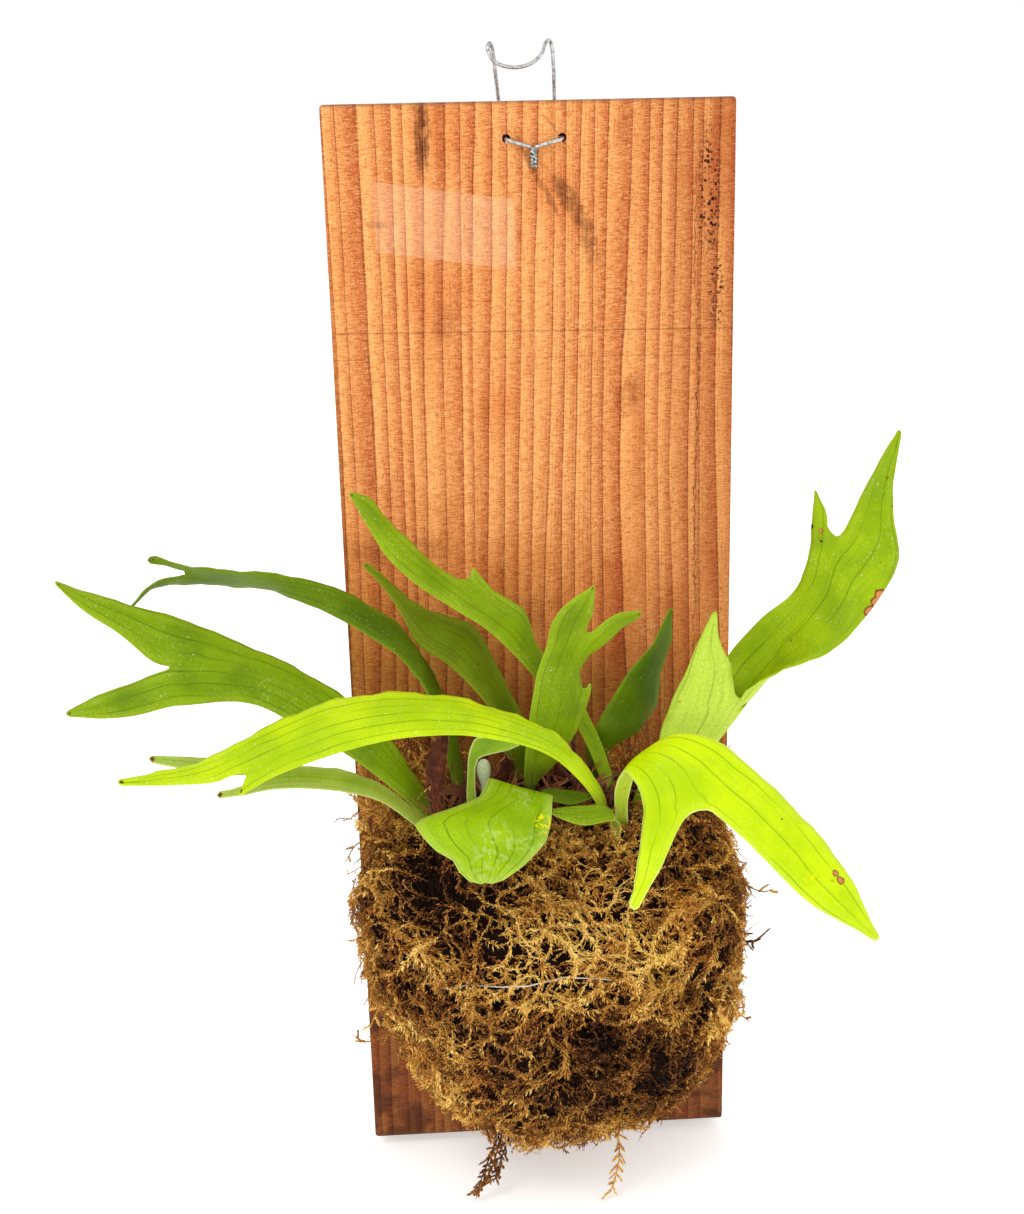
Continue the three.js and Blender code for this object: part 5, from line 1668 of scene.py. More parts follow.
    def _paths(self, kind: StemKind, rng: Random, count: int) -> Array:
        """Grows stems along the wrap.

        Args:
            kind: The kind of stem.
            rng: The random numbers.
            count: How many stems are tried.

        Returns:
            Stems by points by three, only those that lie well.
        """
        depth = rng.uniform(0.02, 0.3 if kind.edge_only else 1, count)
        turn = rng.uniform(0, FULL_TURN, count)
        flat = np.sqrt(1 - depth**2)
        ways = np.stack([flat * np.cos(turn), -depth, flat * np.sin(turn)], 1)
        heading = self._lie(ways) + rng.normal(0, kind.spread, (count, 3))
        if kind.edge_only:
            heading = heading + ways * [2.5, 0, 2] - [0, 0, 0.8]
        heading = square_to(ways, heading)
        curl = rng.uniform(*kind.curl, count) * rng.choice([-1, 1], count)
        drift = rng.normal(0, 0.12, count)
        level = rng.uniform(*kind.level, count)
        lift = rng.uniform(*kind.lift, count)
        phase = rng.uniform(0, FULL_TURN, (3, count))
        pitch = rng.uniform(8, 17, count)
        joints = max(6, round(kind.length / self.JOINT)) + 1
        step = kind.length / (joints - 1)
        places, rises = [], []
        for k in range(joints):
            share = k / (joints - 1)
            travelled = k * step
            places.append(ways)
            sway = np.sin(FULL_TURN * travelled / pitch + phase[0])
            rises.append(level + lift * share**1.5 + kind.sway * 0.6 * sway)
            bend = curl * (0.5 + 1.6 * share**2) + drift * np.sin(travelled * 0.35 + phase[1])
            angle = (bend * step)[:, None]
            heading = heading * np.cos(angle) + np.cross(ways, heading) * np.sin(angle)
            ways = unit(ways + heading * step / self.MEAN_REACH)
            ways[:, 1] = np.minimum(ways[:, 1], -0.015)
            ways = unit(ways)
            heading = square_to(ways, heading)
        points = self.surface(np.stack(places, 1), np.stack(rises, 1))
        sagging = np.linspace(0, 1, joints) ** 2 * self.HANG * np.array(rises)[-1:].T
        points[..., 2] -= np.clip(sagging, 0, None)
        on_board = np.abs(points[..., 0]) < self.BOARD_HALF
        rear = np.where(on_board, self.BOARD_FACE, self.BESIDE_BOARD)
        points[..., 1] = np.minimum(points[..., 1], rear)
        return points[self._lies_well(points)]

    def _lies_well(self, paths: Array) -> Array:
        """Tells which stems stay clear of the crown and of the line that is in sight.

        Args:
            paths: Stems by points by three.

        Returns:
            A yes or no for each stem.
        """
        over_crown = (self._in_crown(paths, 2) & (paths[..., 2] > self.CROWN_FLOOR)).any(1)
        away = np.linalg.norm(paths[:, :, None] - self._clear[None, None], axis=-1)
        behind = paths[:, :, None, 1] > self._clear[None, None, :, 1] + 0.6
        return ~over_crown & ~((away < self.LINE_ROOM) & ~behind).any((1, 2))

    def _stems(self, kind: StemKind, rng: Random) -> Shape:
        """Makes all stems of one piece.

        Args:
            kind: The kind of stem.
            rng: The random numbers.

        Returns:
            The leafy stems.
        """
        tried = self.TRIED_IF_PICKED if kind.picked else self.TRIED
        paths = self._paths(kind, rng, int(kind.count * tried))
        if kind.picked:
            light = self._tone(paths).mean(1) + rng.normal(0, 0.14, len(paths))
            paths = paths[np.argsort(-light)]
        paths = paths[: kind.count]
        return self._leafy(paths, rng.uniform(*kind.tone, len(paths)), kind, rng)

    def _leafy(self, paths: Array, tone: Array, kind: StemKind, rng: Random) -> Shape:
        """Clothes stems in small pointed leaflets.

        Args:
            paths: Stems by points by three.
            tone: The tone of each stem.
            kind: The kind of stem.
            rng: The random numbers.

        Returns:
            The leafy stems as one shape.
        """
        count, joints = paths.shape[:2]
        ways, side, other = framed(paths)
        turn = FULL_TURN * np.arange(3) / 3
        radius = kind.core * np.interp(np.linspace(0, 1, joints), [0, 0.8, 1], [1, 0.8, 0.3])
        rim = side[:, :, None] * np.cos(turn)[:, None] + other[:, :, None] * np.sin(turn)[:, None]
        stems = (paths[:, :, None] + rim * radius[:, None, None]).reshape(-1, 3)
        own_tone = tone[:, None] + self._tone(paths)
        stem_tone = np.repeat(own_tone.ravel(), 3)
        values = {"tone": stem_tone, "tip": 0 * stem_tone}
        bare = Shape(stems, ring_faces(count, joints, 3), values)
        places = int(kind.length / kind.spacing)
        share = (np.arange(places) + rng.uniform(0, 1, (count, places))) / places
        at = share * (joints - 1)
        low = np.minimum(at.astype(int), joints - 2)
        part = (at - low)[..., None]
        rows = np.arange(count)[:, None]
        root = paths[rows, low] * (1 - part) + paths[rows, low + 1] * part
        spin = rng.uniform(0, FULL_TURN, (count, places))[..., None]
        out = side[rows, low] * np.cos(spin) + other[rows, low] * np.sin(spin)
        lean = rng.uniform(0.35, 1.1, (count, places))[..., None]
        ahead = unit(out + ways[rows, low] * lean)
        size = np.interp(share, [0, 0.08, 0.75, 1], [0.5, 1, 0.9, 0.45])
        size = size * kind.leaflet * rng.uniform(0.55, 1.25, (count, places))
        size = (size * rng.uniform(0.75, 1.2, (count, 1)))[..., None]
        across = unit(np.cross(ahead, ways[rows, low]))
        half = across * self.BLADE_HALF * (0.5 + 0.5 * size / kind.leaflet)
        middle = root + ahead * size * 0.4 + np.cross(ahead, across) * size * 0.08
        end = root + ahead * size + [0, 0, -0.1] * size**2
        points = np.stack([root, middle - half, middle + half, end], 2).reshape(-1, 3)
        first = 4 * np.arange(count * places)[:, None]
        sides = ((0, 2, 1), (1, 2, 3), (0, 1, 3), (0, 3, 2))
        faces = np.concatenate([first + np.array(corners) for corners in sides])
        leaflet_tone = own_tone[rows, low] + rng.uniform(-0.15, 0.15, (count, places))
        # Leaflet root 0, sides 0.6, point 1: how far the shader lightens it as a painted highlight.
        tips = np.tile([0.0, 0.6, 0.6, 1.0], count * places)
        values = {"tone": np.repeat(leaflet_tone.ravel(), 4), "tip": tips}
        return Shape.joined([bare, Shape(points, faces, values)])

    def _tangled(self, rng: Random) -> Shape:
        """Makes the dry stems that stand up behind and beside the stalks.

        Args:
            rng: The random numbers.

        Returns:
            All of them as one shape.
        """
        made = []
        share = np.linspace(0, 1, 13)[None, :, None]
        for tangle in self.TANGLES:
            count = tangle.count
            root = np.array(tangle.middle) + rng.uniform(-1, 1, (count, 1, 3)) * tangle.half
            heading = unit(rng.normal(0, 0.5, (count, 1, 3)) + [0, 0, 1])
            curl = rng.normal(0, 0.4, (count, 1, 3))
            length = rng.uniform(*tangle.length, (count, 1, 1))
            kink = 0.5 * np.sin(share * 14 + rng.uniform(0, 6, (count, 1, 3)))
            paths = root + length * (heading * share + curl * share**2) + kink
            paths[..., 1] = np.minimum(paths[..., 1], self.BOARD_FACE)
            made.append(self._leafy(paths, rng.uniform(*tangle.tone, count), self.DRY_STEM, rng))
        return Shape.joined(made)

    def _strands(self, rng: Random) -> Shape:
        """Makes the loose strands that hang or stand off the wrap, with their twigs.

        Args:
            rng: The random numbers.

        Returns:
            All of them as one shape.
        """
        made = []
        for points, tone, twigs in self.STRANDS:
            path = Spline(points).walk(40)
            path = path + np.cumsum(rng.normal(0, 0.07, path.shape), 0)
            made.append(self._leafy(path[None], np.array([tone]), self.STRAND, rng))
            last = len(path) - 1
            for number in range(twigs):
                share = 0.15 + 0.8 * (number + rng.uniform(0.2, 0.8)) / twigs
                at = int(share * last)
                root = path[at]
                along = unit(path[min(last, at + 1)] - root)
                away = unit(np.cross(along, [0, 1, 0]) * (-1) ** number + rng.normal(0, 0.5, 3))
                reach = np.linspace(0, rng.uniform(2, 5), 10)[:, None]
                twig = root + (along * 0.75 + away * 0.8) * reach * (1 - 0.02 * reach)
                twig = twig + along * reach**2 * 0.03
                made.append(self._leafy(twig[None], np.array([tone + 0.06]), self.STRAND, rng))
        return Shape.joined(made)


# --- board and hanger


@dataclass(frozen=True)
class Stain:
    """A stain, scuff or speckled place on the face of the board.

    Args:
        x: Its middle, sideways.
        z: Its middle, upright.
        half_x: Half of its width.
        half_z: Half of its height.
        tilt: How far it leans to the right, in degrees.
        colour: What the wood's colour is multiplied by.
        strength: How strongly.
        specks: Whether it is made of specks.
    """

    x: float
    z: float
    half_x: float
    half_z: float
    tilt: float
    colour: Paint
    strength: float
    specks: bool = False


@dataclass(frozen=True)
class RedwoodFinish:
    """Rough-sawn redwood, darker towards its bottom.

    Args:
        early: Colour of the wide light part of a ring.
        late: Colour towards the end of a ring.
        line: Colour of the thin line that ends a ring.
        low_tint: What the wood's colour is multiplied by lower down.
        lowest_tint: What it is multiplied by further down.
        grime: Colour of the dirty ends and of the saw's lines.
        ring: Width of a ring in millimetres.
        stains: Its stains.
    """

    early: Paint = paint(250, 174, 100)
    late: Paint = paint(198, 104, 46)
    line: Paint = paint(126, 52, 24)
    low_tint: Paint = paint(210, 220, 190)
    lowest_tint: Paint = paint(218, 206, 228)
    grime: Paint = paint(92, 74, 62)
    ring: float = 5.6
    stains: tuple[Stain, ...] = (
        Stain(-36.3, 186, 2.9, 16, 0, paint(96, 74, 58), 0.85),
        Stain(-53, 157, 4.2, 1.3, 0, paint(112, 66, 40), 0.7),
        Stain(-31, 123, 4.5, 7, 0, paint(164, 112, 84), 0.45),
        Stain(13.5, 163, 4.2, 10, -28, paint(102, 84, 72), 0.75),
        Stain(20, 150, 3.4, 9, -10, paint(128, 100, 82), 0.6),
        Stain(4, 168, 1.4, 12, -30, paint(104, 76, 60), 0.6),
        Stain(9, 186, 0.5, 9, -38, paint(80, 50, 40), 0.6),
        Stain(-2, 180, 1.2, 7, -26, paint(120, 90, 74), 0.5),
        Stain(33, 97, 5, 8, 12, paint(152, 106, 66), 0.5),
        Stain(31, 187, 3.0, 9, 0, paint(180, 100, 70), 0.4),
        Stain(61, 165, 4.5, 24, 0, paint(60, 34, 22), 0.85, True),
        Stain(64, 132, 3.0, 14, 0, paint(60, 34, 22), 0.8, True),
        Stain(57.2, 60, 0.3, 110, 0.3, paint(70, 26, 18), 0.8),
        Stain(56.4, 150, 0.25, 32, 0, paint(110, 44, 28), 0.7),
        Stain(-69.5, 40, 1.4, 130, 0, paint(120, 70, 45), 0.45),
        Stain(-50, 44, 20, 7, 8, paint(132, 84, 56), 0.4),
        Stain(-12, 18, 22, 9, 0, paint(150, 92, 60), 0.35),
    )

    LABEL_PLACE = (-29.5, 156)
    LABEL_HALF = (24.5, 11.8)
    LABEL_SLOPE = -0.145
    SAW_LINES = ((120.0, 0.42), (111.0, 0.2))

    def make(self) -> Material:
        """Makes the material of the board.

        Returns:
            The material.
        """
        bench = Bench("redwood_skin")
        place = bench.place()
        x, y, z = (bench.split(place, axis) for axis in "XYZ")
        slow = bench.grain(place, (0.012, 0.02, 0.003), 1.0) - 0.5
        wander = bench.grain(place, (0.1, 0.1, 0.012)) - 0.5
        uneven = bench.grain(place, (0.06, 0.0, 0.0), 1.0) - 0.5
        rings = (x + y * 0.35 + slow * 24 + wander * 2.0 + uneven * 12) / self.ring
        phase = rings.fraction()
        own = bench.noise(bench.join((rings - phase) * 3.7, z * 0.004, 4.0), 1.0, 1.0)
        late = phase.span(0.15, 0.97) * own.span(0.3, 0.6, 0.6, 1.0)
        line = phase.span(0.9, 0.95) * phase.span(0.965, 0.995, 1.0, 0.0)
        line = line * bench.grain(place, (0.12, 0.1, 0.02), 1.0).span(0.25, 0.5)
        wood = bench.blend(late, self.early, self.late)
        wood = bench.blend(own.span(0.47, 0.62) * 0.36, wood, self.late)
        thin = (rings * 4 + wander).fraction().span(0.75, 0.98)
        cluster = (x - 14).span(-14, -4) * (x - 14).span(12, 3)
        wood = bench.blend(thin * (0.12 + cluster * 0.34), wood, self.line)
        wood = bench.blend(line * 0.7, wood, self.line)
        fibre = bench.grain(place, (2.6, 2.6, 0.07), 3.0, 0.6)
        wood = bench.blend(fibre.span(0.48, 0.68) * 0.4, wood, self.late)
        sawn = bench.grain(place, (0.35, 0.8, 2.6), 2.0, 0.6)
        grit = bench.grain(place, (2.6, 2.6, 2.2), 2.0, 0.6)
        wood = bench.blend(grit.span(0.52, 0.68) * 0.34, wood, paint(255, 204, 142))
        wood = bench.darken(grit.span(0.5, 0.34) * 0.45, wood, paint(190, 146, 110))
        wood = bench.blend(sawn.span(0.53, 0.66) * 0.3, wood, paint(255, 200, 140))
        wood = bench.darken(sawn.span(0.48, 0.36) * 0.5, wood, paint(196, 150, 120))
        cloud = bench.grain(place, (0.05, 0.05, 0.02))
        wood = bench.darken(cloud.span(0.5, 0.7) * 0.5, wood, paint(226, 186, 160))
        pores = bench.dots(bench.stretch(place, (1.0, 1.0, 0.45)), 0.8).span(0.11, 0.24, 1, 0)
        pores = pores * bench.noise(place, 0.06, 1.0).span(0.4, 0.6)
        wood = bench.blend(pores * 0.5, wood, self.line)
        wood = self._marked(bench, wood, place, fibre)
        wood = self._darkened_below(bench, wood, place, x, z)
        edge = abs(z + 1.6 * (grit - 0.5)).span(194.4, 196.0)
        wood = bench.blend(edge * 0.6, wood, self.grime)
        height = sawn * 0.4 + grit * 0.5 + fibre * 0.25 + (1 - line) * 0.3
        normal = bench.bump(height, 0.8, 0.6)
        rough = 0.86 - z.span(30, -60) * 0.2 - late * 0.05
        return bench.close(wood, rough, normal, Specular_IOR_Level=0.2)

    def _marked(self, bench: Bench, wood: Shade, place: Shade, fibre: Shade) -> Shade:
        """Adds the stains, the pale rectangle where a label was and the saw's lines.

        Args:
            bench: The material's bench.
            wood: The colour so far.
            place: The point in millimetres.
            fibre: The fibres of the wood, from 0 to 1.

        Returns:
            The stained colour.
        """
        ragged = bench.warp(place, 3.0, 0.35)
        x, z = bench.split(ragged, "X"), bench.split(ragged, "Z")
        speck = bench.dots(bench.warp(place, 1.0, 0.8), 0.7)
        front = bench.split(place, "Y").span(-17, -14, 1.0, 0.0)
        soft = bench.noise(place, 0.3, 2.0).span(0.35, 0.6, 0.5, 1.0)
        soak = fibre.span(0.3, 0.6, 0.55, 1.0) * soft
        for stain in self.stains:
            slope = math.tan(math.radians(stain.tilt))
            across = (x - stain.x - (z - stain.z) * slope) / stain.half_x
            up = (z - stain.z) / stain.half_z
            share = (across * across + up * up).span(0.1, 1.3, 1.0, 0.0) * soak
            if stain.specks:
                share = share * speck.span(0.3, 0.5, 1.0, 0.0) * 1.6
            wood = bench.darken(share * front * stain.strength, wood, stain.colour)
        x, z = bench.split(place, "X"), bench.split(place, "Z")
        middle_x, middle_z = self.LABEL_PLACE
        across = abs(x + -middle_x) / self.LABEL_HALF[0]
        up = abs(z - middle_z - (x + -middle_x) * self.LABEL_SLOPE) / self.LABEL_HALF[1]
        inside = across.most(up).span(0.95, 1.0, 1.0, 0.0)
        wood = bench.blend(inside * front * 0.2, wood, paint(255, 206, 170))
        for height, strength in self.SAW_LINES:
            saw_line = abs(z - height + x * 0.012).span(0.12, 0.34, 1.0, 0.0)
            wood = bench.darken(saw_line * front * strength, wood, self.grime)
        return wood

    def _darkened_below(self, bench: Bench, wood: Shade, place: Shade, x: Shade, z: Shade) -> Shade:
        """Darkens the wood towards its bottom, in blotches low down, and towards its right side.

        Args:
            bench: The material's bench.
            wood: The colour so far.
            place: The point in millimetres.
            x: The point's sideways place.
            z: Its height.

        Returns:
            The darkened colour.
        """
        ragged = (bench.noise(place, 0.035, 3.0) - 0.5) * 60
        level = z + ragged + x * 0.28
        # The wood is darkened in steps towards the bottom, starting above the moss behind the
        # fronds.
        wood = bench.darken(level.span(60, 10), wood, paint(238, 220, 194))
        wood = bench.darken(level.span(34, -20), wood, self.low_tint)
        wood = bench.darken(level.span(-20, -110), wood, self.lowest_tint)
        blotch = bench.noise(place, 0.09, 3.0).span(0.46, 0.62) * level.span(-50, -120)
        wood = bench.darken(x.span(20, 66) * 0.8, wood, paint(224, 216, 208))
        return bench.darken(blotch * 0.8, wood, paint(150, 134, 124))


@dataclass
class Board:
    """The upright board, with the worn edges and slightly uneven ends of rough sawing.

    Args:
        finish: Its wood.
        step: The spacing of the points along its edges.
        wear: How far its edges are worn away, in millimetres.
        seed: The seed of the unevenness.
    """

    finish: RedwoodFinish = RedwoodFinish()
    step: float = 3.5
    wear: float = 0.55
    seed: int = 5

    def build(self) -> None:
        """Makes the board as a copy of its CAD solid with more points, and wears its edges."""
        low, high = (np.array(corner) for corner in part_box("board"))
        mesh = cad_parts["board"].data.copy()
        mesh.name = "board_worn"
        work = bmesh.new()
        work.from_mesh(mesh)
        bmesh.ops.remove_doubles(work, verts=work.verts, dist=1e-6)
        worn = self.wear * MM
        for axis in range(3):
            count = int((high[axis] - low[axis]) / (self.step * MM))
            even = np.linspace(low[axis], high[axis], count + 1)[1:-1] if axis != 1 else ()
            for cut in (low[axis] + worn, high[axis] - worn, *even):
                everything = [*work.verts, *work.edges, *work.faces]
                normal = [float(n == axis) for n in range(3)]
                point = [float(cut) * n for n in normal]
                bmesh.ops.bisect_plane(work, geom=everything, plane_co=point, plane_no=normal)
        rng = np.random.default_rng(self.seed)
        for vertex in work.verts:
            at = np.array(vertex.co)
            outer = [n for n in range(3) if min(at[n] - low[n], high[n] - at[n]) < 1e-5]
            if len(outer) < 2:
                continue
            for n in outer:
                inward = 1 if at[n] - low[n] < 1e-5 else -1
                at[n] += inward * worn * rng.uniform(0.25, 0.9)
            vertex.co = at
        work.to_mesh(mesh)
        work.free()
        cover(mesh, self.finish.make())
        dress(bpy.data.objects.new("board_worn", mesh), ["board"])


@dataclass(frozen=True)
class WireFinish:
    """A drawn and galvanised metal.

    Args:
        bright: Its colour where it shines.
        dull: Its colour where it has weathered.
        rough: Its roughness.
        twist_painted_dark: How strongly its twisted end is darkened, as painted shade.
    """

    bright: Paint = paint(205, 206, 204)
    dull: Paint = paint(112, 112, 110)
    rough: float = 0.3
    twist_painted_dark: float = 0.0

    def make(self, name: str) -> Material:
        """Makes the material.

        Args:
            name: Its name.

        Returns:
            The material.
        """
        bench = Bench(name)
        place = bench.place()
        bloom = bench.noise(place, 0.8, 3.0).span(0.35, 0.7)
        scratch = bench.grain(place, (5, 5, 0.6))
        colour = bench.blend(bloom * 0.75, self.bright, self.dull)
        if self.twist_painted_dark:
            # Painted shade: the turns of the twist below the holes are darkened, standing in for
            # shade and dark reflections; the noise named worn only breaks it up.
            twisted = bench.split(place, "Z").span(182, 179)
            twisted = twisted * bench.split(place, "Y").span(-18, -19)
            worn = bench.noise(place, 1.4, 2.0).span(0.45, 0.6)
            colour = bench.blend(twisted * worn * self.twist_painted_dark, colour, paint(44, 42, 40))
        normal = bench.bump(scratch, 0.25, 0.05)
        return bench.close(colour, self.rough + bloom * 0.25, normal, Metallic=1.0)


@dataclass
class Hanger:
    """The wire loop, through two holes and twisted together on the front.

    Args:
        finish: Its metal.
        radius: Radius of the wire.
        holes_x: Where the holes are, sideways.
        holes_z: How high they are.
        twist: Radius of the twist.
        pitch: How far it goes down in one turn.
        turns: How many turns it has.
    """

    finish: WireFinish = WireFinish(twist_painted_dark=0.8)
    radius: float = 0.65
    holes_x: Pair = (-8, 11)
    holes_z: float = 184
    twist: float = 0.78
    pitch: float = 2.6
    turns: float = 2.5

    FRONT = -19.0
    GAP = 0.3

    def build(self) -> None:
        """Builds the wire as one round piece."""
        left, right = self.holes_x
        back = self.radius + self.GAP
        loop = (
            (-9, back, 191), (-9.3, back + 0.1, 198), (-10.2, -0.8, 206), (-11, -3, 213),
            (-11.9, -4.6, 215.8), (-12.9, -6.4, 214.6), (-12, -8, 211), (-9.4, -9, 208.6),
            (-4, -9.5, 207.4), (1.5, -9, 208.6), (5.2, -7.6, 211.6), (7, -5.6, 215.6),
            (8.4, -3.8, 216.4), (9.4, -2.4, 213.6), (10, -0.4, 206),
            (10.2, back + 0.1, 198), (10.7, back, 191),
        )
        run = Spline([*self._hole(left, 1), *loop, *self._hole(right, -1)[::-1]]).walk(250)
        route = np.concatenate([self._end(math.pi)[::-1], run, self._end(0.0)])
        for _ in range(2):
            middle = (route[:-2] + route[2:]) / 2
            route[1:-1] += 0.25 * (middle - route[1:-1])
        even = np.full(len(route), self.radius)
        skin = self.finish.make("zinc_wire_skin")
        tube(route, even, even, 12).piece("hanger_loop", skin, "zinc_wire", ["hanger_wire"])

    def _hole(self, x: float, side: int) -> list[Point]:
        """Leads the wire through a hole.

        Args:
            x: Where the hole is, sideways.
            side: 1 if the other hole is to its right, and -1 if it is to its left.

        Returns:
            The wire's path from the front to the back.
        """
        front, back = self.FRONT - self.radius - self.GAP, self.radius + self.GAP
        steps = (
            (0.9, front - 0.5, -0.8), (0.1, front + 0.5, -0.4), (0, front + 2.5, 0),
            (0, -8, 0), (0, -1.6, 0.1), (-0.1, back, 1.6),
        )
        return [(x + side * inward, y, self.holes_z + up) for inward, y, up in steps]

    def _end(self, phase: float) -> Array:
        """Winds one end of the wire down the twist.

        Args:
            phase: Where it starts, as an angle.

        Returns:
            Its path, the end last.
        """
        middle = sum(self.holes_x) / 2 - 0.5
        front = self.FRONT - self.GAP - self.radius - self.twist
        turn = np.arange(0, FULL_TURN * self.turns, math.pi / 9)
        down = self.holes_z - 3 - self.pitch * turn / FULL_TURN
        x = middle + self.twist * np.cos(phase + turn)
        return np.stack([x, front + self.twist * np.sin(phase + turn), down], 1)


@dataclass
class TieLine:
    """The clear line laced over the moss between the nails.

    Args:
        radius: Its radius.
        nails: The left and right nails' places and the height of each pair.
        proud: How far the nails stand out.
        depth: How far it has sunk into the moss.
        raised: How much less deep it lies in the middle of its level crossing.
        bowed: How far it bows up there.
    """

    radius: float = 0.22
    nails: tuple[Point, ...] = ((-58, 58, -68), (-57, 58, -106), (-48, 57, -144))
    proud: float = 8.0
    depth: float = 7.0
    raised: float = 9.0
    bowed: float = 16.0

    IN_SIGHT = ((-16, 14), (7, 5))
    STEPS = 30
    TURN = 2.5
    EXIT = 7.0

    def build(self, wrap: MossWrap) -> Array:
        """Builds the line over the wrap.

        Args:
            wrap: The wrap of moss.

        Returns:
            Points of the stretch of it that stays in sight.
        """
        places = [(x, z) for left, right, z in self.nails for x in (left, right)]
        route: list[Point] = []
        for n, place in enumerate(places):
            route += self._round_nail(*place)
            if n + 1 < len(places):
                route += self._crossing(wrap, place, places[n + 1])
        path = np.array(route)
        _, right, height = self.nails[1]
        x = path[:, 0].copy()
        level = np.abs(path[:, 2] - height) < 1
        bow = level * np.cos(math.pi / 2 * np.clip(x / right, -1, 1))
        path[:, 1] -= self.raised * bow**2
        path[:, 2] += self.bowed * bow
        even = np.full(len(path), self.radius)
        line = tube(path, even, even, 8)
        line.piece("tie_line_lacing", self._finish(), "clear_line", ["tie_line"])
        in_sight = [np.abs(x - middle) < half for middle, half in self.IN_SIGHT]
        return path[level & np.any(in_sight, axis=0)]

    @staticmethod
    def _finish() -> Material:
        """Makes the clear nylon.

        Returns:
            The material.
        """
        bench = Bench("clear_line_skin")
        cloud = bench.noise(bench.place(), 0.3, 2.0)
        colour = bench.blend(cloud, paint(250, 250, 244), paint(214, 216, 208))
        return bench.close(colour, 0.12 + cloud * 0.12, Transmission_Weight=0.2, IOR=1.5)

    def _crossing(self, wrap: MossWrap, start: Pair, end: Pair) -> list[Point]:
        """Lays the line over the wrap from one nail to the next.

        Args:
            wrap: The wrap.
            start: The first nail.
            end: The next nail.

        Returns:
            The points between them.
        """
        share = np.arange(1, self.STEPS) / self.STEPS
        z = start[1] + (end[1] - start[1]) * share - wrap.centre_z
        half, power = np.where(z > 0, *wrap.half_z), np.where(z > 0, *wrap.profile)
        part = (1 - np.abs(z / half) ** power) ** (1 / power)
        side = math.copysign(1, start[0]) * np.cos(math.pi * share)
        x = part * wrap.half_x * np.sign(side) * np.abs(side) ** (2 / wrap.plan)
        depth = part * wrap.deep * np.sin(math.pi * share) ** (2 / wrap.plan)
        ways = unit(np.stack([x, -depth, z], 1))
        return [tuple(point) for point in wrap.surface(ways, 0 * z - self.depth).tolist()]

    def _round_nail(self, x: float, z: float) -> list[Point]:
        """Turns the line round a nail under its head.

        Args:
            x: Where the nail is, sideways.
            z: How high it is.

        Returns:
            The points of the turn.
        """
        y = Hanger.FRONT - self.proud / 2
        sign = math.copysign(1, x)
        outside = x + sign * self.EXIT
        points = [(outside, y, z + self.TURN)]
        for n in range(9):
            turn = math.pi * n / 8
            inward = x - sign * self.TURN * math.sin(turn)
            points.append((inward, y, z + self.TURN * math.cos(turn)))
        return [*points, (outside, y, z - self.TURN)]


# --- crown


@dataclass(frozen=True)
class ScrapKind:
    """One kind of dry scrap in the crown. Every pair is the least and the most.

    Args:
        count: How many there are.
        length: How long one is.
        steep: How steeply it stands.
        wide: Half of its width.
        bend: How strongly it bends.
        tone: The tone of the lightest.
    """

    count: int
    length: Pair
    steep: Pair
    wide: Pair
    bend: float
    tone: float


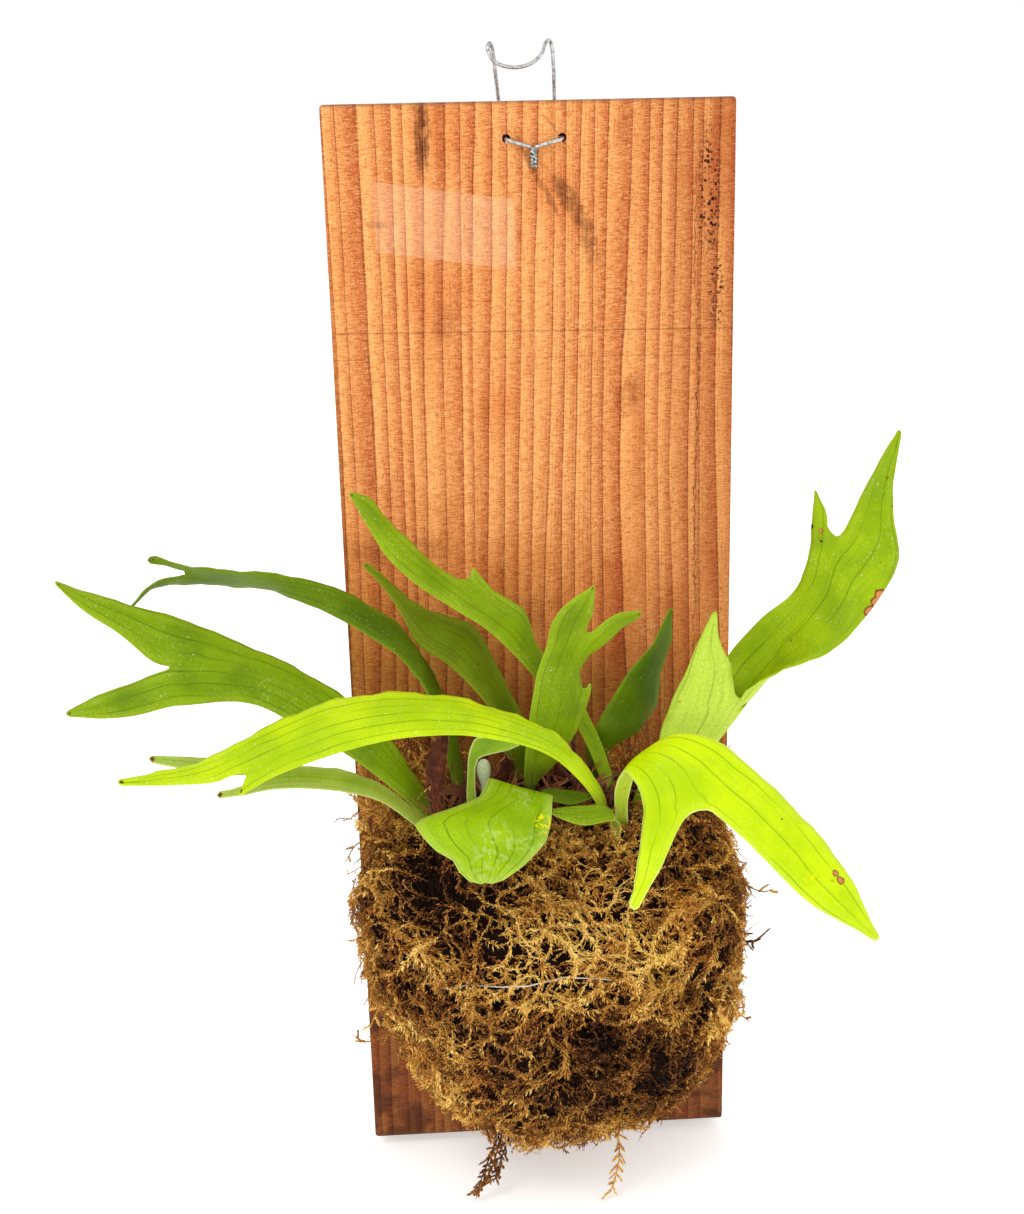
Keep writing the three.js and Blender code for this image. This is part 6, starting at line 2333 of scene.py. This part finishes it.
@dataclass
class Crown:
    """What stands among the stalks: the root ball's top, a bud and dry scraps.

    Args:
        bud_place: Where the young bud is.
        scraps: The small flat scraps and the larger, steeper shreds.
        middle: The middle of the crown.
        half: Half of its width and depth.
        seed: The seed of the scraps.
    """

    bud_place: Point = (-23, -55.5, -29)
    scraps: tuple[ScrapKind, ...] = (
        ScrapKind(150, (5, 13), (0.1, 1.6), (0.5, 2.4), 0.35, 1),
        ScrapKind(34, (8, 15), (0.5, 1.8), (1.6, 3.6), 0.6, 0.5),
    )
    middle: Point = (-6, -55, -39)
    half: Pair = (34, 12)
    seed: int = 3

    BUD = ((1.2, -16), (1.3, -4), (2.1, -1), (2.5, 1.4), (2.1, 3.6), (1.2, 5.0), (0.2, 5.4))
    BUD_ROOM = 8.0

    def build(self) -> None:
        """Builds the bud and the scraps and dresses the root ball."""
        cover(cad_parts["root_ball"].data, self._root_finish())
        self._bud()
        self._scraps()

    @staticmethod
    def _root_finish() -> Material:
        """Makes the matted roots.

        Returns:
            The material.
        """
        bench = Bench("root_mat_skin")
        place = bench.place()
        roots = bench.noise(bench.warp(place, 3.0, 0.3), 0.9, 5.0, 0.7)
        clumps = bench.noise(place, 0.2, 2.0)
        stops = ((0.2, paint(18, 9, 5)), (0.55, paint(62, 34, 18)), (0.85, paint(112, 70, 36)))
        colour = bench.ramp(roots * 0.7 + clumps * 0.3, stops)
        return bench.close(colour, 0.92, bench.bump(roots, 1.0, 1.5))

    def _bud(self) -> None:
        """Builds the round downy bud on its short foot."""
        line = Spline([(radius, 0.0, z) for radius, z in self.BUD]).walk(28)
        sides = 24
        turn = FULL_TURN * np.arange(sides) / sides
        rings = [[(r * math.cos(a), r * math.sin(a), z) for a in turn] for r, _, z in line]
        points = np.array(rings).reshape(-1, 3) + np.array(self.bud_place)
        knob = Shape(points, ring_faces(1, len(line), sides))
        bench = Bench("bud_felt_skin")
        place = bench.place()
        down = bench.noise(place, 3.2, 3.0, 0.7)
        colour = bench.blend(down.span(0.35, 0.7), paint(168, 186, 120), paint(236, 242, 214))
        finish = bench.close(colour, 0.85, bench.bump(down, 0.8, 0.25))
        knob.piece("young_bud_knob", finish, "bud_felt", ["young_bud"])

    def _scraps(self) -> None:
        """Strews curled scraps of old fronds and bark between the stalks."""
        rng = np.random.default_rng(self.seed)
        every = [kind for kind in self.scraps for _ in range(kind.count)]
        made = [scrap for kind in every if (scrap := self._scrap(kind, rng))]
        bench = Bench("scrap_skin")
        place = bench.place()
        grain = bench.noise(place, 0.9, 3.0)
        stops = ((0.1, paint(58, 28, 14)), (0.5, paint(128, 68, 36)), (0.9, paint(190, 124, 70)))
        colour = bench.ramp(bench.value("tone") * 0.7 + grain * 0.4, stops)
        finish = bench.close(colour, 0.75, bench.bump(grain, 0.6, 0.4))
        Shape.joined(made).piece("crown_scraps", finish, "dry_husk")

    def _scrap(self, kind: ScrapKind, rng: Random) -> Shape | None:
        """Makes one scrap.

        Args:
            kind: The kind of scrap.
            rng: The random numbers.

        Returns:
            The scrap, or None if it would touch the bud.
        """
        turn, far = rng.uniform(0, FULL_TURN), math.sqrt(rng.uniform(0.02, 1.1))
        x = self.middle[0] + self.half[0] * far * math.cos(turn)
        y = self.middle[1] + self.half[1] * far * math.sin(turn)
        z = self.middle[2] + 2.5 - 7 * far**2 + 0.3 * (y - self.middle[1])
        length, steep = rng.uniform(*kind.length), rng.uniform(*kind.steep)
        way = unit(np.array([rng.normal(), rng.normal() * 0.5, steep]))
        bend = rng.normal(0, kind.bend, 3)
        reach = np.linspace(-0.2, 1, 9)[:, None] * length
        path = np.array([x, y, z]) + way * reach + bend * reach**2 / length
        wide = np.interp(np.linspace(0, 1, 9), [0, 0.4, 1], [0.5, 1.0, 0.15])
        wide = wide * rng.uniform(*kind.wide)
        if np.linalg.norm(path - self.bud_place, axis=1).min() < self.BUD_ROOM:
            return None
        scrap = tube(path, wide, 0.14 + wide * 0.05, 6)
        scrap.values["tone"] = np.full(len(scrap.points), rng.uniform(0, kind.tone))
        return scrap


# --- studio


@dataclass
class Studio:
    """The camera, the soft lights, the pale floor and the white surroundings.

    Args:
        eye: Where the camera is, in metres.
        forward: The way it looks.
        across: The way to its right.
        lens: Its focal length for a 36 mm long side.
        white: The strength of the surroundings.
    """

    eye: Point = (-0.0351, -0.5300, 0.1553)
    forward: Point = (0.0475, 0.9661, -0.2537)
    across: Point = (0.9982, -0.0554, -0.0242)
    lens: float = 43.0
    white: float = 1.0

    FLOOR_GLOW = 0.42
    FLOOR_HALF = 12.0
    LIT = (0.0, -0.05, -0.02)
    LIGHTS = (
        ("key_light", (-0.65, -0.95, 1.45), 0.55, 8.0),
        ("fill_light", (1.15, -0.9, 0.75), 1.0, 1.0),
    )

    def build(self) -> None:
        """Builds the whole studio."""
        self._camera()
        self._lights()
        self._world()
        self._floor()
        settings = bpy.context.scene.view_settings
        settings.view_transform = "Standard"
        settings.look = "None"

    def _camera(self) -> None:
        """Sets up the camera."""
        data = bpy.data.cameras.new("camera")
        data.lens = self.lens
        data.clip_start, data.clip_end = 0.01, 50.0
        camera = bpy.data.objects.new("camera", data)
        back = -Vector(self.forward).normalized()
        right = Vector(self.across).normalized()
        up = back.cross(right).normalized()
        right = up.cross(back)
        turned = Matrix((right, up, back)).transposed().to_4x4()
        camera.matrix_world = Matrix.Translation(Vector(self.eye)) @ turned
        bpy.context.scene.collection.objects.link(camera)
        bpy.context.scene.camera = camera

    def _lights(self) -> None:
        """Adds the square soft lights, which face the fern."""
        for name, place, side, watts in self.LIGHTS:
            data = bpy.data.lights.new(name, "AREA")
            data.size = side
            data.energy = watts
            light = bpy.data.objects.new(name, data)
            light.location = place
            way = Vector(self.LIT) - Vector(place)
            light.rotation_euler = way.to_track_quat("-Z", "Y").to_euler()
            bpy.context.scene.collection.objects.link(light)

    def _world(self) -> None:
        """Makes the white surroundings."""
        world = bpy.data.worlds.new("white_surroundings")
        world.use_nodes = True
        ground = world.node_tree.nodes["Background"]
        ground.inputs["Color"].default_value = (1.0, 1.0, 1.0, 1.0)
        ground.inputs["Strength"].default_value = self.white
        bpy.context.scene.world = world

    def _floor(self) -> None:
        """Lays the pale floor just under the lowest strand of moss."""
        low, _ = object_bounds()
        half, z = self.FLOOR_HALF, low.z - MM
        corners = [(-half, -half, z), (half, -half, z), (half, half, z), (-half, half, z)]
        mesh = bpy.data.meshes.new("floor")
        mesh.from_pydata(corners, [], [(0, 1, 2, 3)])
        bench = Bench("pale_floor_skin")
        cloud = bench.noise(bench.place(), 0.002, 1.0)
        colour = bench.blend(cloud, paint(250, 250, 250), paint(246, 246, 247))
        glow = {"Emission_Color": (1.0, 0.98, 0.95, 1.0), "Emission_Strength": self.FLOOR_GLOW}
        mesh.materials.append(bench.close(colour, 0.9, **glow))
        floor = bpy.data.objects.new("floor", mesh)
        bpy.context.scene.collection.objects.link(floor)
        floor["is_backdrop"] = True


def main() -> None:
    """Builds the fern piece by piece and then the studio round it."""
    logging.basicConfig(level=logging.INFO, format="%(name)s: %(message)s")
    Board().build()
    Hanger().build()
    nail_metal = WireFinish(rough=0.45).make("nail_skin")
    for name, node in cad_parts.items():
        if name.startswith("nail_"):
            cover(node.data, nail_metal)
    wrap = MossWrap()
    wrap.build(TieLine().build(wrap))
    Crown().build()
    for leaf in (*FRONDS, *HUSKS):
        leaf.build()
    Studio().build()


if __name__ == "__main__":
    main()
